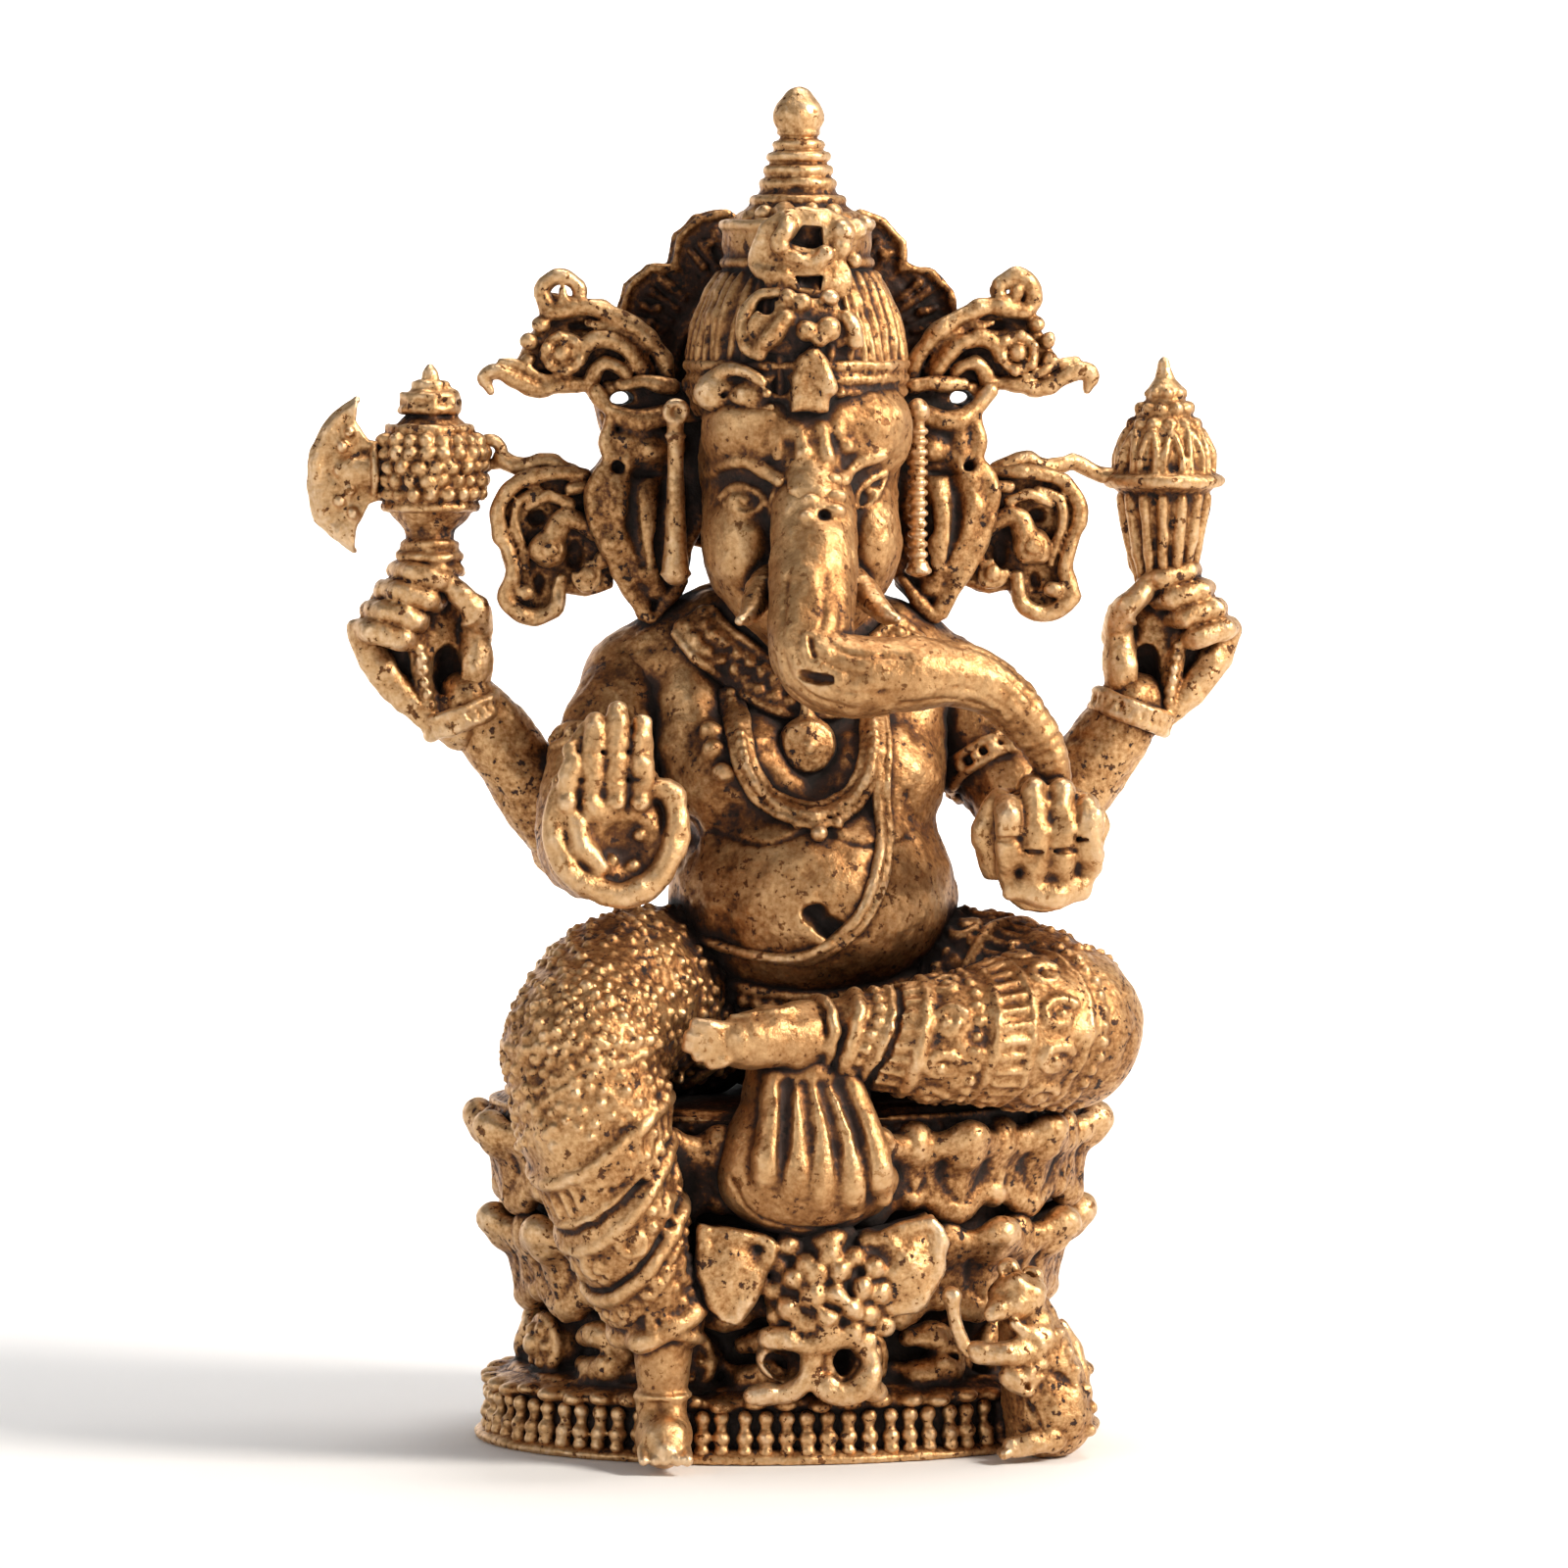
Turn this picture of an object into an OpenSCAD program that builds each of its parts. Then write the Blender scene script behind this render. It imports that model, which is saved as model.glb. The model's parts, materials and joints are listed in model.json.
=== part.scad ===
// Small cast brass Ganesha seated on a double lotus throne, with four arms and a mouse at his feet.
// Millimetres. +Z is up, the origin is the centre of the flat underside, and the figure faces -Y.
// "left" and "right" in node names are the viewer's, seen from the front.

/* [Throne] */
// Half width of the plinth at its foot
plinth_rx = 10.6; // [10:0.1:11.2]
// Half depth of the plinth at its foot
plinth_ry = 7.6; // [7.2:0.1:8.2]
// Half width across the tips of the upper petals
upper_petal_rx = 11.1; // [10.6:0.1:11.6]
// Half width across the tips of the lower petals
lower_petal_rx = 10.6; // [10.2:0.1:11]
// Petals round each row of the lotus
petal_count = 16; // [14:1:20]
// Beads round the foot of the plinth
bead_count = 36; // [30:2:44]
// Round flowers on the drum above the plinth
flower_count = 14; // [10:1:16]

/* [Body] */
// Radius of the round belly
belly_r = 4.75; // [4.5:0.05:5]
// Radius of the head at the temples
head_r = 3.4; // [3.2:0.05:3.6]
// Radius of the trunk where it leaves the face
trunk_r = 1.4; // [1.25:0.05:1.55]
// Radius of the upper arms
arm_r = 1.6; // [1.45:0.05:1.75]
// Radius of the folded thigh
thigh_r = 2.9; // [2.7:0.05:3.1]

/* [Ornaments] */
// Radius of the flat disc behind the head
halo_r = 5.4; // [5.1:0.1:5.8]
// Thickness of the disc behind the head
halo_t = 1.1; // [0.9:0.1:1.4]
// Radius of the crown dome at the diadem
crown_r = 3.45; // [3.3:0.05:3.6]
// Thickness of the ears
ear_t = 1.3; // [1.1:0.1:1.6]
// Radius of the pot-shaped head under the axe
pot_r = 1.75; // [1.6:0.05:1.9]
// Radius of the half-moon edge of the axe blade
blade_r = 2.6; // [2.4:0.05:2.7]
// Thickness of the axe blade
blade_t = 0.7; // [0.5:0.1:0.9]

/* [Hidden] */
smooth = 96;
round_fn = 28;
body_fn = 14;
medium = 12;
coarse = 7;
fine_bead = 5;
oval_sides = 40;
plan = plinth_ry / plinth_rx;      // depth over width of the oval throne
plinth_top = 2.3;
frieze_rx = 8.15;
frieze_top = 3.9;
lower_top = 7.4;
upper_top = 10.5;
seat_top = 11.6;
halo_y = 2.2;
halo_z = 35.2;
ear_y = 0.4;
face_y = -1.5;

brass = [0.72, 0.53, 0.30];
bright_brass = [0.82, 0.64, 0.40];
dark_brass = [0.48, 0.33, 0.18];

// ---- building blocks ----

// A ball at [x, y, z, radius]
module ball(p, fn = medium) translate([p[0], p[1], p[2]]) sphere(r = p[3], $fn = fn);

// A smooth limb through balls given as [x, y, z, radius]
module limb(path, fn = medium)
  for (i = [0 : len(path) - 2])
    hull() {
      ball(path[i], fn);
      ball(path[i + 1], fn);
    }

// Joins everything inside into one skin
module one_skin() resize([0, 0, 0]) children();

// An oval ring shape turned from a profile of [radius, height] points
module oval_turned(profile) scale([1, plan, 1]) rotate_extrude($fn = round_fn) polygon(profile);

// A slab of the oval plan, half width rx, from height z0 to z1
module oval_slab(rx, z0, z1)
  translate([0, 0, z0]) linear_extrude(z1 - z0)
    polygon([for (i = [0 : oval_sides - 1]) [rx * cos(i * 360 / oval_sides), rx * plan * sin(i * 360 / oval_sides)]]);

// Places copies round the oval at half width rx, each facing outwards
module round_oval(count, rx, first = 0)
  for (i = [0 : count - 1]) {
    a = first + i * 360 / count;
    translate([rx * cos(a), rx * plan * sin(a), 0]) rotate([0, 0, atan2(sin(a) / plan, cos(a))]) children();
  }

// A flat plate in the XZ plane, centred on depth y
module plate(outline, y, t) translate([0, y + t / 2, 0]) rotate([90, 0, 0]) linear_extrude(t) polygon(outline);

module mirrored() mirror([1, 0, 0]) children();

// ---- throne ----

module base_plinth() color(dark_brass) {
  oval_slab(plinth_rx, 0, 0.45);
  oval_slab(plinth_rx - 0.75, 0.45, 1.4);
  oval_slab(plinth_rx - 0.95, 1.4, 1.7);
  oval_slab(plinth_rx - 0.55, 1.7, plinth_top);
}

module plinth_beads() color(bright_brass)
  one_skin() difference() {
    union() {
      oval_slab(plinth_rx - 0.6, 0.6, 1.15);
      round_oval(bead_count, plinth_rx - 0.45) translate([0, 0, 0.87]) sphere(r = 0.38, $fn = fine_bead);
    }
    oval_slab(plinth_rx - 0.75, 0, plinth_top);
  }

module frieze_drum() color(dark_brass) {
  oval_slab(frieze_rx + 0.7, plinth_top, 2.7);
  oval_slab(frieze_rx, 2.7, 3.65);
  oval_slab(frieze_rx + 0.4, 3.65, frieze_top);
  // round flowers carved along the drum
  round_oval(flower_count, frieze_rx - 0.4, 90 / flower_count)
    translate([0, 0, 3.2]) rotate([0, 90, 0]) cylinder(r1 = 0.48, r2 = 0.3, h = 1, $fn = smooth);
}

// One petal standing on the cup's side, its tip curling outwards
module petal(h, w)
  hull() {
    translate([-0.9, 0, 0.2]) sphere(r = w * 0.55, $fn = fine_bead);
    translate([-0.35, 0, h * 0.6]) scale([0.7, 1, 1]) sphere(r = w, $fn = 6);
    translate([0.15, 0, h - 0.2]) sphere(r = 0.25, $fn = 5);
  }

module lower_lotus() color(brass)
  one_skin() {
    oval_turned([[0, frieze_top], [frieze_rx, frieze_top], [lower_petal_rx - 1.3, 5.3],
                 [lower_petal_rx - 0.6, lower_top - 0.5], [lower_petal_rx - 0.9, lower_top], [0, lower_top]]);
    round_oval(petal_count, lower_petal_rx - 0.4) translate([0, 0, 4.4]) petal(lower_top - 4.4, 1.05);
  }

module upper_lotus() color(brass)
  one_skin() {
    oval_turned([[0, lower_top], [upper_petal_rx - 1.5, lower_top], [upper_petal_rx - 1.3, 8.6],
                 [upper_petal_rx - 0.6, upper_top - 0.4], [upper_petal_rx - 0.9, upper_top], [0, upper_top]]);
    round_oval(petal_count, upper_petal_rx - 0.4, 180 / petal_count)
      translate([0, 0, 8]) petal(upper_top - 8, 1.05);
  }

module seat_cushion() color(dark_brass) {
  oval_slab(upper_petal_rx - 1.4, upper_top, upper_top + 0.3);
  oval_slab(upper_petal_rx - 1.1, upper_top + 0.3, seat_top - 0.2);
  oval_slab(upper_petal_rx - 1.5, seat_top - 0.2, seat_top);
}

// Shell of pleats hanging over the front of the throne
module dhoti_pleats() color(bright_brass)
  one_skin() {
    limb([[-0.3, -6.4, 12.2, 1.1], [-0.4, -7.5, 10.4, 1.9], [-0.5, -7.6, 8.7, 1.3]]);
    for (i = [-2 : 2])
      limb([[-0.3 + i * 0.5, -7.4, 12.1, 0.35], [-0.4 + i * 1.15, -8.9 + abs(i) * 0.35, 10.3, 0.42],
            [-0.6 + i * 0.75, -8.6 + abs(i) * 0.15, 8.3, 0.35]], fine_bead);
  }

// Flower with round berries between two leaf panels, under the pleats
module flower_cluster() color(bright_brass)
  one_skin() {
    hull() {
      ball([0.1, -7.2, 6.2, 1.2]);
      ball([0.2, -6.6, 3.6, 0.8]);
    }
    for (s = [-1, 1])
      hull() {
        ball([0.1 + s * 3.4, -6.6, 7.3, 0.45], coarse);
        ball([0.1 + s * 3.2, -6.4, 5.0, 0.4], coarse);
        ball([0.1 + s * 0.8, -6.9, 4.6, 0.5], coarse);
      }
    for (i = [0 : 5])
      ball([0.1 + 1.2 * cos(i * 60), -8, 5.7 + 1.2 * sin(i * 60), 0.62], coarse);
    ball([0.1, -8.3, 5.7, 0.75], coarse);
    for (i = [-1 : 1])
      ball([0.3 + i * 0.8, -7.3, 3.75 - abs(i) * 0.1, 0.6], coarse);
  }

// ---- mouse ----

module mouse() color(brass)
  one_skin() {
    limb([[8.7, -5.6, 1.5, 1.35], [8.2, -5.9, 3.0, 1.3], [7.4, -6.4, 4.5, 0.95], [6.7, -7.1, 5.2, 0.6], [6.3, -7.6, 5.0, 0.3]]);
    for (s = [0, 1])
      ball([7.1 + s * 0.9, -6.4, 5.75, 0.5], coarse);
    limb([[7.4, -6.9, 3.6, 0.5], [6.5, -7.4, 3.3, 0.4], [5.9, -7.6, 3.5, 0.35]], coarse);
    limb([[8.2, -6.6, 1.2, 0.8], [7.3, -7.3, 0.7, 0.5]], coarse);
    limb([[9.3, -5.5, 1.0, 0.7], [9.7, -4.6, 2.3, 0.45], [9.6, -4.3, 3.5, 0.3]], coarse);
  }

module mouse_staff() color(brass)
  limb([[4.6, -7.4, 5.3, 0.32], [4.7, -7.4, 4.3, 0.3], [5.3, -7.5, 3.5, 0.33]], coarse);

// ---- body ----

module torso_form() {
  limb([[0.6, -1.1, 18.6, belly_r], [0.4, 0.4, 22.6, 4.1], [0.3, 0.8, 25.2, 3.3], [0.2, 0.2, 27.6, 2.1]], body_fn);
  limb([[-4.9, 0.6, 25.4, 2.0], [0.3, 0.4, 25.6, 3.0], [5.2, 0.6, 25.2, 2.0]], body_fn);
  limb([[0.6, -1.1, 18.6, belly_r], [0.4, 0.6, 14.8, 4.3]], body_fn);
}

module torso() color(brass)
  one_skin() difference() {
    torso_form();
    head_form();
    translate([-15, -15, -1]) cube([30, 30, seat_top + 1]);
  }

module collar_necklace() color(bright_brass)
  one_skin() difference() {
    union() {
      for (i = [0 : 6]) {
        a = 210 + i * 20;
        ball([0.3 + 3.1 * cos(a), -0.6 + 3.6 * sin(a), 26.2 + 1.6 * sin(a), 0.68], fine_bead);
      }
      limb([[-3.0, -1.6, 25.9, 0.5], [-1.6, -3.6, 24.8, 0.6], [0.3, -4.3, 24.5, 0.6], [2.0, -3.7, 24.8, 0.6], [3.2, -1.9, 25.7, 0.5]], coarse);
    }
    head_form();
    torso_form();
  }

module long_necklace() color(bright_brass)
  one_skin() difference() {
    union() {
      limb([[-2.4, -3.9, 24.6, 0.45], [-1.9, -4.7, 22.9, 0.5], [-0.7, -5.3, 21.6, 0.5], [0.6, -5.4, 21.3, 0.5],
            [1.9, -5.0, 22.0, 0.5], [2.6, -4.3, 23.4, 0.5], [2.7, -3.7, 24.5, 0.45]], coarse);
      ball([0.2, -5.0, 23.2, 0.85]);
      limb([[0.2, -5.3, 21.5, 0.3], [0.2, -5.0, 23.2, 0.3]], fine_bead);
    }
    torso_form();
  }

module sacred_thread() color(bright_brass)
  one_skin() difference() {
    limb([[3.6, -3.4, 24.2, 0.4], [3.2, -4.7, 21.6, 0.42], [3.2, -5.6, 19.6, 0.42], [2.3, -6.0, 17.6, 0.42],
          [0.4, -5.9, 16.5, 0.42], [-1.8, -5.2, 16.2, 0.42], [-3.6, -3.6, 16.7, 0.4]], coarse);
    torso_form();
  }

module waist_belt() color(bright_brass)
  one_skin() difference() {
    limb([[-4.2, -2.6, 15.2, 0.7], [-2.4, -4.9, 14.6, 0.75], [0.4, -5.6, 14.3, 0.8], [3.0, -4.9, 14.6, 0.75], [5.0, -2.8, 15.3, 0.7]], coarse);
    torso_form();
  }

module head_form() {
  limb([[0.1, face_y, 32.9, head_r], [0.1, face_y - 0.3, 30.4, 3.0], [0.1, face_y - 0.7, 28.6, 2.1]], body_fn);
  for (s = [-1, 1]) {
    ball([0.1 + s * 1.35, face_y - 1.5, 32.9, 2.0], body_fn);
    ball([0.1 + s * 1.75, face_y - 1.6, 29.6, 1.35]);
  }
}

module head() color(brass)
  one_skin() difference() {
    union() {
      head_form();
      for (s = [-1, 1])
        ball([0.1 + s * 1.95, face_y - 3.1, 31.7, 0.55], coarse);
    }
    halo_form();
  }

trunk_path = [[0.15, face_y - 2.6, 31.8, trunk_r], [0.1, -5.6, 30.2, trunk_r + 0.05], [-0.1, -6.7, 28.4, trunk_r],
              [-0.35, -7.5, 26.9, trunk_r], [0.5, -8.1, 25.9, trunk_r - 0.05], [2.5, -8.3, 25.9, trunk_r - 0.2],
              [4.8, -8.0, 25.8, trunk_r - 0.4], [6.4, -7.7, 24.9, trunk_r - 0.55], [7.3, -7.6, 23.7, trunk_r - 0.7],
              [7.7, -7.6, 22.9, trunk_r - 0.8]];

module trunk() color(brass)
  one_skin() difference() {
    limb(trunk_path);
    head_form();
  }

module right_tusk() color(bright_brass)
  one_skin() difference() {
    limb([[1.5, -4.3, 28.7, 0.55], [2.1, -5.4, 28.1, 0.45], [2.6, -6.3, 27.5, 0.22]], coarse);
    head_form();
    limb(trunk_path);
  }

module left_tusk() color(bright_brass)
  one_skin() difference() {
    limb([[-1.4, -4.3, 28.7, 0.55], [-2.0, -5.4, 28.1, 0.45], [-2.4, -6.3, 27.6, 0.22]], coarse);
    head_form();
    limb(trunk_path);
  }

// ---- ears and their scrolls ----

ear_outline = [[3.2, 34.2], [4.2, 35.2], [5.9, 35.2], [7.0, 34.2], [7.4, 32.4], [6.9, 30.6], [5.9, 29.2],
               [4.9, 27.7], [4.5, 28.6], [3.0, 29.9]];
ear_rim_w = 0.75;

// Flat ear with a raised rim and a swelling in the middle
module ear() {
  plate(ear_outline, ear_y, ear_t);
  translate([0, ear_y - ear_t / 2 + 0.05, 0]) rotate([90, 0, 0]) linear_extrude(0.45) difference() {
    polygon(ear_outline);
    offset(delta = -ear_rim_w) polygon(ear_outline);
  }
  translate([5.3, ear_y - ear_t / 2 + 0.05, 32.3]) rotate([90, 0, 0]) cylinder(h = 0.5, r1 = 1.2, r2 = 0.7, $fn = smooth);
}

module right_ear() color(brass) ear();

module left_ear() color(brass) translate([0.4, 0, 0]) mirrored() ear();

module right_ear_drop() color(bright_brass)
  translate([4.1, -1.9, 0]) {
    for (z = [29.6 : 0.8 : 33.6])
      translate([0, 0, z]) cylinder(h = 0.5, r = 0.36, center = true, $fn = smooth);
    translate([0, 0, 29.2]) cylinder(h = 5.2, r = 0.26, $fn = smooth);
    translate([0, 0, 34.2]) sphere(r = 0.42, $fn = smooth);
    translate([0, 0, 28.9]) cylinder(h = 0.4, r = 0.5, $fn = smooth);
  }

module left_ear_drop() color(bright_brass)
  translate([-4.0, -1.9, 0]) {
    translate([0, 0, 29.1]) cylinder(h = 4.9, r1 = 0.5, r2 = 0.26, $fn = smooth);
    translate([0, 0, 33.4]) cylinder(h = 0.35, r = 0.42, $fn = smooth);
    translate([0, 0, 34.2]) sphere(r = 0.42, $fn = smooth);
    translate([0, 0, 28.9]) cylinder(h = 0.4, r = 0.55, $fn = smooth);
  }

// Flame-like scroll that fans up and outwards above the ear
module right_upper_scroll() color(brass)
  one_skin() {
    plate([[4.9, 35.4], [5.4, 36.8], [6.9, 38.0], [8.0, 38.3], [8.9, 37.2], [10.2, 36.1], [9.2, 35.3], [7.6, 35.4], [6.6, 34.8]],
          ear_y + 0.2, 0.9);
    limb([[4.5, ear_y, 35.9, 0.5], [5.4, ear_y, 37.0, 0.45], [6.6, ear_y, 37.9, 0.45], [7.8, ear_y, 38.5, 0.55]], fine_bead);
    limb([[5.0, ear_y - 0.3, 35.7, 0.4], [6.2, ear_y - 0.3, 36.8, 0.4], [7.6, ear_y - 0.3, 37.4, 0.4]], fine_bead);
    limb([[8.2, ear_y, 36.3, 0.75], [9.4, ear_y, 35.9, 0.45], [10.3, ear_y, 36.1, 0.28]], fine_bead);
  }

module left_upper_scroll() translate([0.2, 0, 0]) mirrored() right_upper_scroll();

// Block of spiral curls beside the ear
module right_lower_scroll() color(brass)
  one_skin() {
    plate([[6.9, 31.9], [9.6, 32.1], [10.1, 30.6], [9.6, 28.2], [8.7, 27.5], [7.5, 28.1], [6.2, 29.2]], ear_y + 0.2, 0.9);
    limb([[7.1, ear_y, 31.7, 0.4], [9.4, ear_y, 31.8, 0.45], [9.9, ear_y, 30.2, 0.45], [9.4, ear_y, 28.3, 0.5], [8.5, ear_y, 27.9, 0.4]], fine_bead);
    limb([[6.9, ear_y - 0.3, 29.3, 0.4], [7.8, ear_y - 0.3, 30.3, 0.45], [8.6, ear_y - 0.3, 29.7, 0.45]], fine_bead);
  }

module left_lower_scroll() translate([0.2, 0, 0]) mirrored() right_lower_scroll();

// ---- halo and crown ----

module halo_form() {
  translate([0.2, halo_y + halo_t / 2, halo_z]) rotate([90, 0, 0]) cylinder(r = halo_r - 0.6, h = halo_t, $fn = smooth);
  for (i = [0 : 13])
    translate([0.2 + (halo_r - 0.7) * cos(i * 360 / 14), halo_y + halo_t / 2, halo_z + (halo_r - 0.7) * sin(i * 360 / 14)])
      rotate([90, 0, 0]) cylinder(r = 1.0, h = halo_t, $fn = 24);
}

module halo_disc() color(dark_brass) halo_form();

module crown_form()
  limb([[0.1, face_y, 35.6, crown_r], [0.1, face_y, 37.4, 3.05], [0.1, face_y, 39.0, 2.0]], body_fn);

module crown_dome() color(brass)
  one_skin() difference() {
    union() {
      crown_form();
      // strands of hair combed up both sides
      for (s = [-1, 1], i = [0 : 3])
        limb([[0.1 + s * (crown_r - 0.25) * cos(i * 20), face_y - (crown_r - 0.25) * sin(i * 20), 35.8, 0.32],
              [0.1 + s * 2.75 * cos(i * 20), face_y - 2.75 * sin(i * 20), 37.9, 0.32],
              [0.1 + s * 1.7 * cos(i * 20), face_y - 1.7 * sin(i * 20), 39.6, 0.3]], fine_bead);
    }
    head_form();
    halo_form();
  }

module crown_diadem() color(bright_brass)
  one_skin() difference() {
    union() {
      for (i = [0 : 2])
        translate([0.1, face_y, 34.6 + i * 0.75]) rotate_extrude($fn = 18) translate([crown_r + 0.05, 0]) circle(r = 0.36, $fn = fine_bead);
      hull() {
        ball([-0.8, face_y - 3.6, 34.9, 0.4], coarse);
        ball([0.9, face_y - 3.6, 34.9, 0.4], coarse);
        ball([0.1, face_y - 3.6, 36.6, 0.3], coarse);
      }
    }
    head_form();
    crown_form();
    halo_form();
    translate([-6, face_y + 1.2, 30]) cube([12, 6, 10]);
  }

module crown_jewel() color(bright_brass)
  one_skin() difference() {
    union() {
      for (i = [0 : 5]) {
        ball([0.2 + 0.95 * cos(i * 60), face_y - 3.1, 38.0 + 0.95 * sin(i * 60), 0.52], fine_bead);
        ball([0.25 + 0.8 * cos(i * 60), face_y - 2.3, 40.0 + 0.8 * sin(i * 60), 0.46], fine_bead);
      }
      for (s = [-1, 1])
        limb([[0.2, face_y - 3.5, 36.7, 0.5], [0.2 + s * 1.3, face_y - 3.3, 36.6, 0.5], [0.2 + s * 1.7, face_y - 2.9, 37.6, 0.4]], fine_bead);
      ball([0.2, face_y - 3.0, 36.9, 1.0], coarse);
      ball([0.22, face_y - 2.85, 39.05, 0.5], coarse);
    }
    crown_form();
    head_form();
  }

module crown_spire() color(bright_brass)
  translate([0.15, face_y, 0]) rotate_extrude($fn = smooth)
    polygon([[0, 40.2], [1.5, 40.2], [2.0, 40.6], [1.85, 41.0], [1.35, 41.6], [1.2, 41.75], [1.3, 41.95], [1.05, 42.15],
             [1.2, 42.4], [0.95, 42.6], [1.1, 42.9], [0.8, 43.15], [0.6, 43.35], [0.85, 43.7], [0.88, 44.1],
             [0.7, 44.55], [0.35, 44.9], [0, 45]]);

// ---- arms ----

module blessing_arm() color(brass)
  one_skin() difference() {
    limb([[-5.0, 0.5, 25.0, 1.55], [-6.6, -1.0, 22.0, arm_r], [-7.2, -2.4, 19.4, arm_r - 0.1], [-7.1, -4.6, 18.9, 1.3],
          [-6.8, -6.3, 19.3, 1.15]]);
    torso_form();
  }

module blessing_hand() color(bright_brass)
  one_skin() {
    // palm with a raised rim, open to the front
    difference() {
      hull() {
        ball([-7.6, -7.6, 20.6, 1.2]);
        ball([-5.9, -7.6, 20.6, 1.2]);
        ball([-6.8, -7.6, 19.8, 1.1]);
        ball([-6.9, -7.4, 22.0, 1.2]);
      }
      translate([-6.7, -8.9, 20.1]) sphere(r = 0.75, $fn = medium);
    }
    for (i = [0 : 3])
      limb([[-8.05 + i * 0.78, -7.7, 22.2, 0.46], [-7.85 + i * 0.72, -7.8, 23.6, 0.42],
            [-7.7 + i * 0.68, -7.6, 24.5 + (i == 1 || i == 2 ? 0.3 : 0), 0.32]], coarse);
    limb([[-5.6, -7.8, 20.2, 0.6], [-4.8, -8.0, 21.4, 0.42], [-4.8, -8.0, 22.2, 0.3]], coarse);
  }

module sweet_arm() color(brass)
  one_skin() difference() {
    limb([[5.3, 0.5, 24.8, 1.55], [7.3, -0.9, 22.0, arm_r], [8.2, -2.4, 19.2, arm_r - 0.1], [7.9, -4.4, 18.3, 1.3],
          [7.5, -6.1, 18.6, 1.15]]);
    torso_form();
  }

module sweet_hand() color(bright_brass)
  one_skin() {
    limb([[7.4, -7.4, 18.8, 1.3], [7.4, -7.6, 20.2, 1.5]]);
    for (i = [0 : 3])
      limb([[6.2 + i * 0.78, -8.7, 19.0, 0.42], [6.1 + i * 0.84, -9.1, 20.5, 0.46], [6.2 + i * 0.8, -8.6, 21.7, 0.38]], coarse);
    limb([[5.9, -7.3, 19.6, 0.5], [5.7, -7.6, 21.2, 0.42]], coarse);
  }

// Round sweets heaped in the hand
module sweet_bowl() color(bright_brass)
  one_skin() {
    for (i = [0 : 5])
      ball([7.4 + 1.05 * cos(i * 60), -7.5 + 0.8 * sin(i * 60), 21.6, 0.62], coarse);
    ball([7.4, -7.5, 22.0, 0.75], coarse);
  }

module axe_upper_arm() color(brass)
  one_skin() difference() {
    limb([[-4.7, 1.9, 24.5, 1.5], [-6.0, 1.8, 21.9, arm_r - 0.1], [-7.0, 1.5, 20.0, arm_r - 0.2]]);
    torso_form();
  }

module axe_forearm() color(brass)
  one_skin() difference() {
    limb([[-7.4, 1.5, 20.3, 1.3], [-8.9, 1.4, 22.4, 1.3], [-10.4, 1.2, 24.4, 1.1]]);
    axe_upper_arm();
  }

module axe_hand() color(bright_brass)
  one_skin() {
    translate([-10.9, 1.1, 24.7]) rotate([0, -42, 0]) cylinder(r = 1.55, h = 0.5, center = true, $fn = 24);
    limb([[-10.9, 1.1, 24.8, 1.1], [-12.1, 1.1, 26.0, 1.25], [-12.0, 1.1, 27.4, 1.0]]);
    for (i = [0 : 3])
      limb([[-11.0, 0.6, 25.4 + i * 0.72, 0.4], [-12.2, 0.15, 25.2 + i * 0.74, 0.45], [-13.6, 0.6, 25.3 + i * 0.68, 0.42]], fine_bead);
    limb([[-12.8, 1.5, 25.1, 0.6], [-13.8, 1.6, 26.4, 0.5], [-12.9, 1.5, 27.7, 0.5]], coarse);
  }

// Pot-shaped head on a short stem, with a tiered finial
module axe_pot() color(brass)
  translate([-11.95, 1.1, 0]) rotate_extrude($fn = smooth)
    polygon([[0, 28.0], [0.75, 28.0], [0.9, 28.6], [0.6, 29.1], [0.75, 29.6], [1.1, 30.2], [pot_r - 0.1, 31.3],
             [pot_r, 32.3], [pot_r - 0.3, 33.2], [1.0, 33.8], [1.15, 34.1], [0.7, 34.35], [0.8, 34.7], [0.45, 34.95],
             [0.45, 35.2], [0, 35.8]]);

// Half-moon blade standing off the pot on a short socket
module axe_blade() color(bright_brass)
  difference() {
    union() {
      translate([-13.25, 1.1 + blade_t / 2, 32.2]) rotate([90, 0, 0]) intersection() {
        cylinder(r = blade_r, h = blade_t, $fn = smooth);
        translate([-blade_r - 1, -blade_r - 1, -1]) cube([blade_r + 0.1, 2 * blade_r + 2, blade_t + 2]);
      }
      translate([-15.2, 1.1, 32.3]) rotate([0, 90, 0]) cylinder(r1 = 0.45, r2 = 0.85, h = 2.4, $fn = smooth);
    }
    translate([-11.95, 1.1, 32.3]) cylinder(r = pot_r - 0.3, h = 3, center = true, $fn = smooth);
  }

module bud_upper_arm() color(brass)
  one_skin() difference() {
    limb([[5.2, 1.9, 24.3, 1.5], [7.4, 1.8, 21.9, arm_r - 0.1], [9.0, 1.5, 20.4, arm_r - 0.2]]);
    torso_form();
  }

module bud_forearm() color(brass)
  one_skin() difference() {
    limb([[9.3, 1.5, 20.6, 1.3], [10.6, 1.4, 22.4, 1.3], [11.9, 1.2, 24.2, 1.1]]);
    bud_upper_arm();
  }

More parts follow.
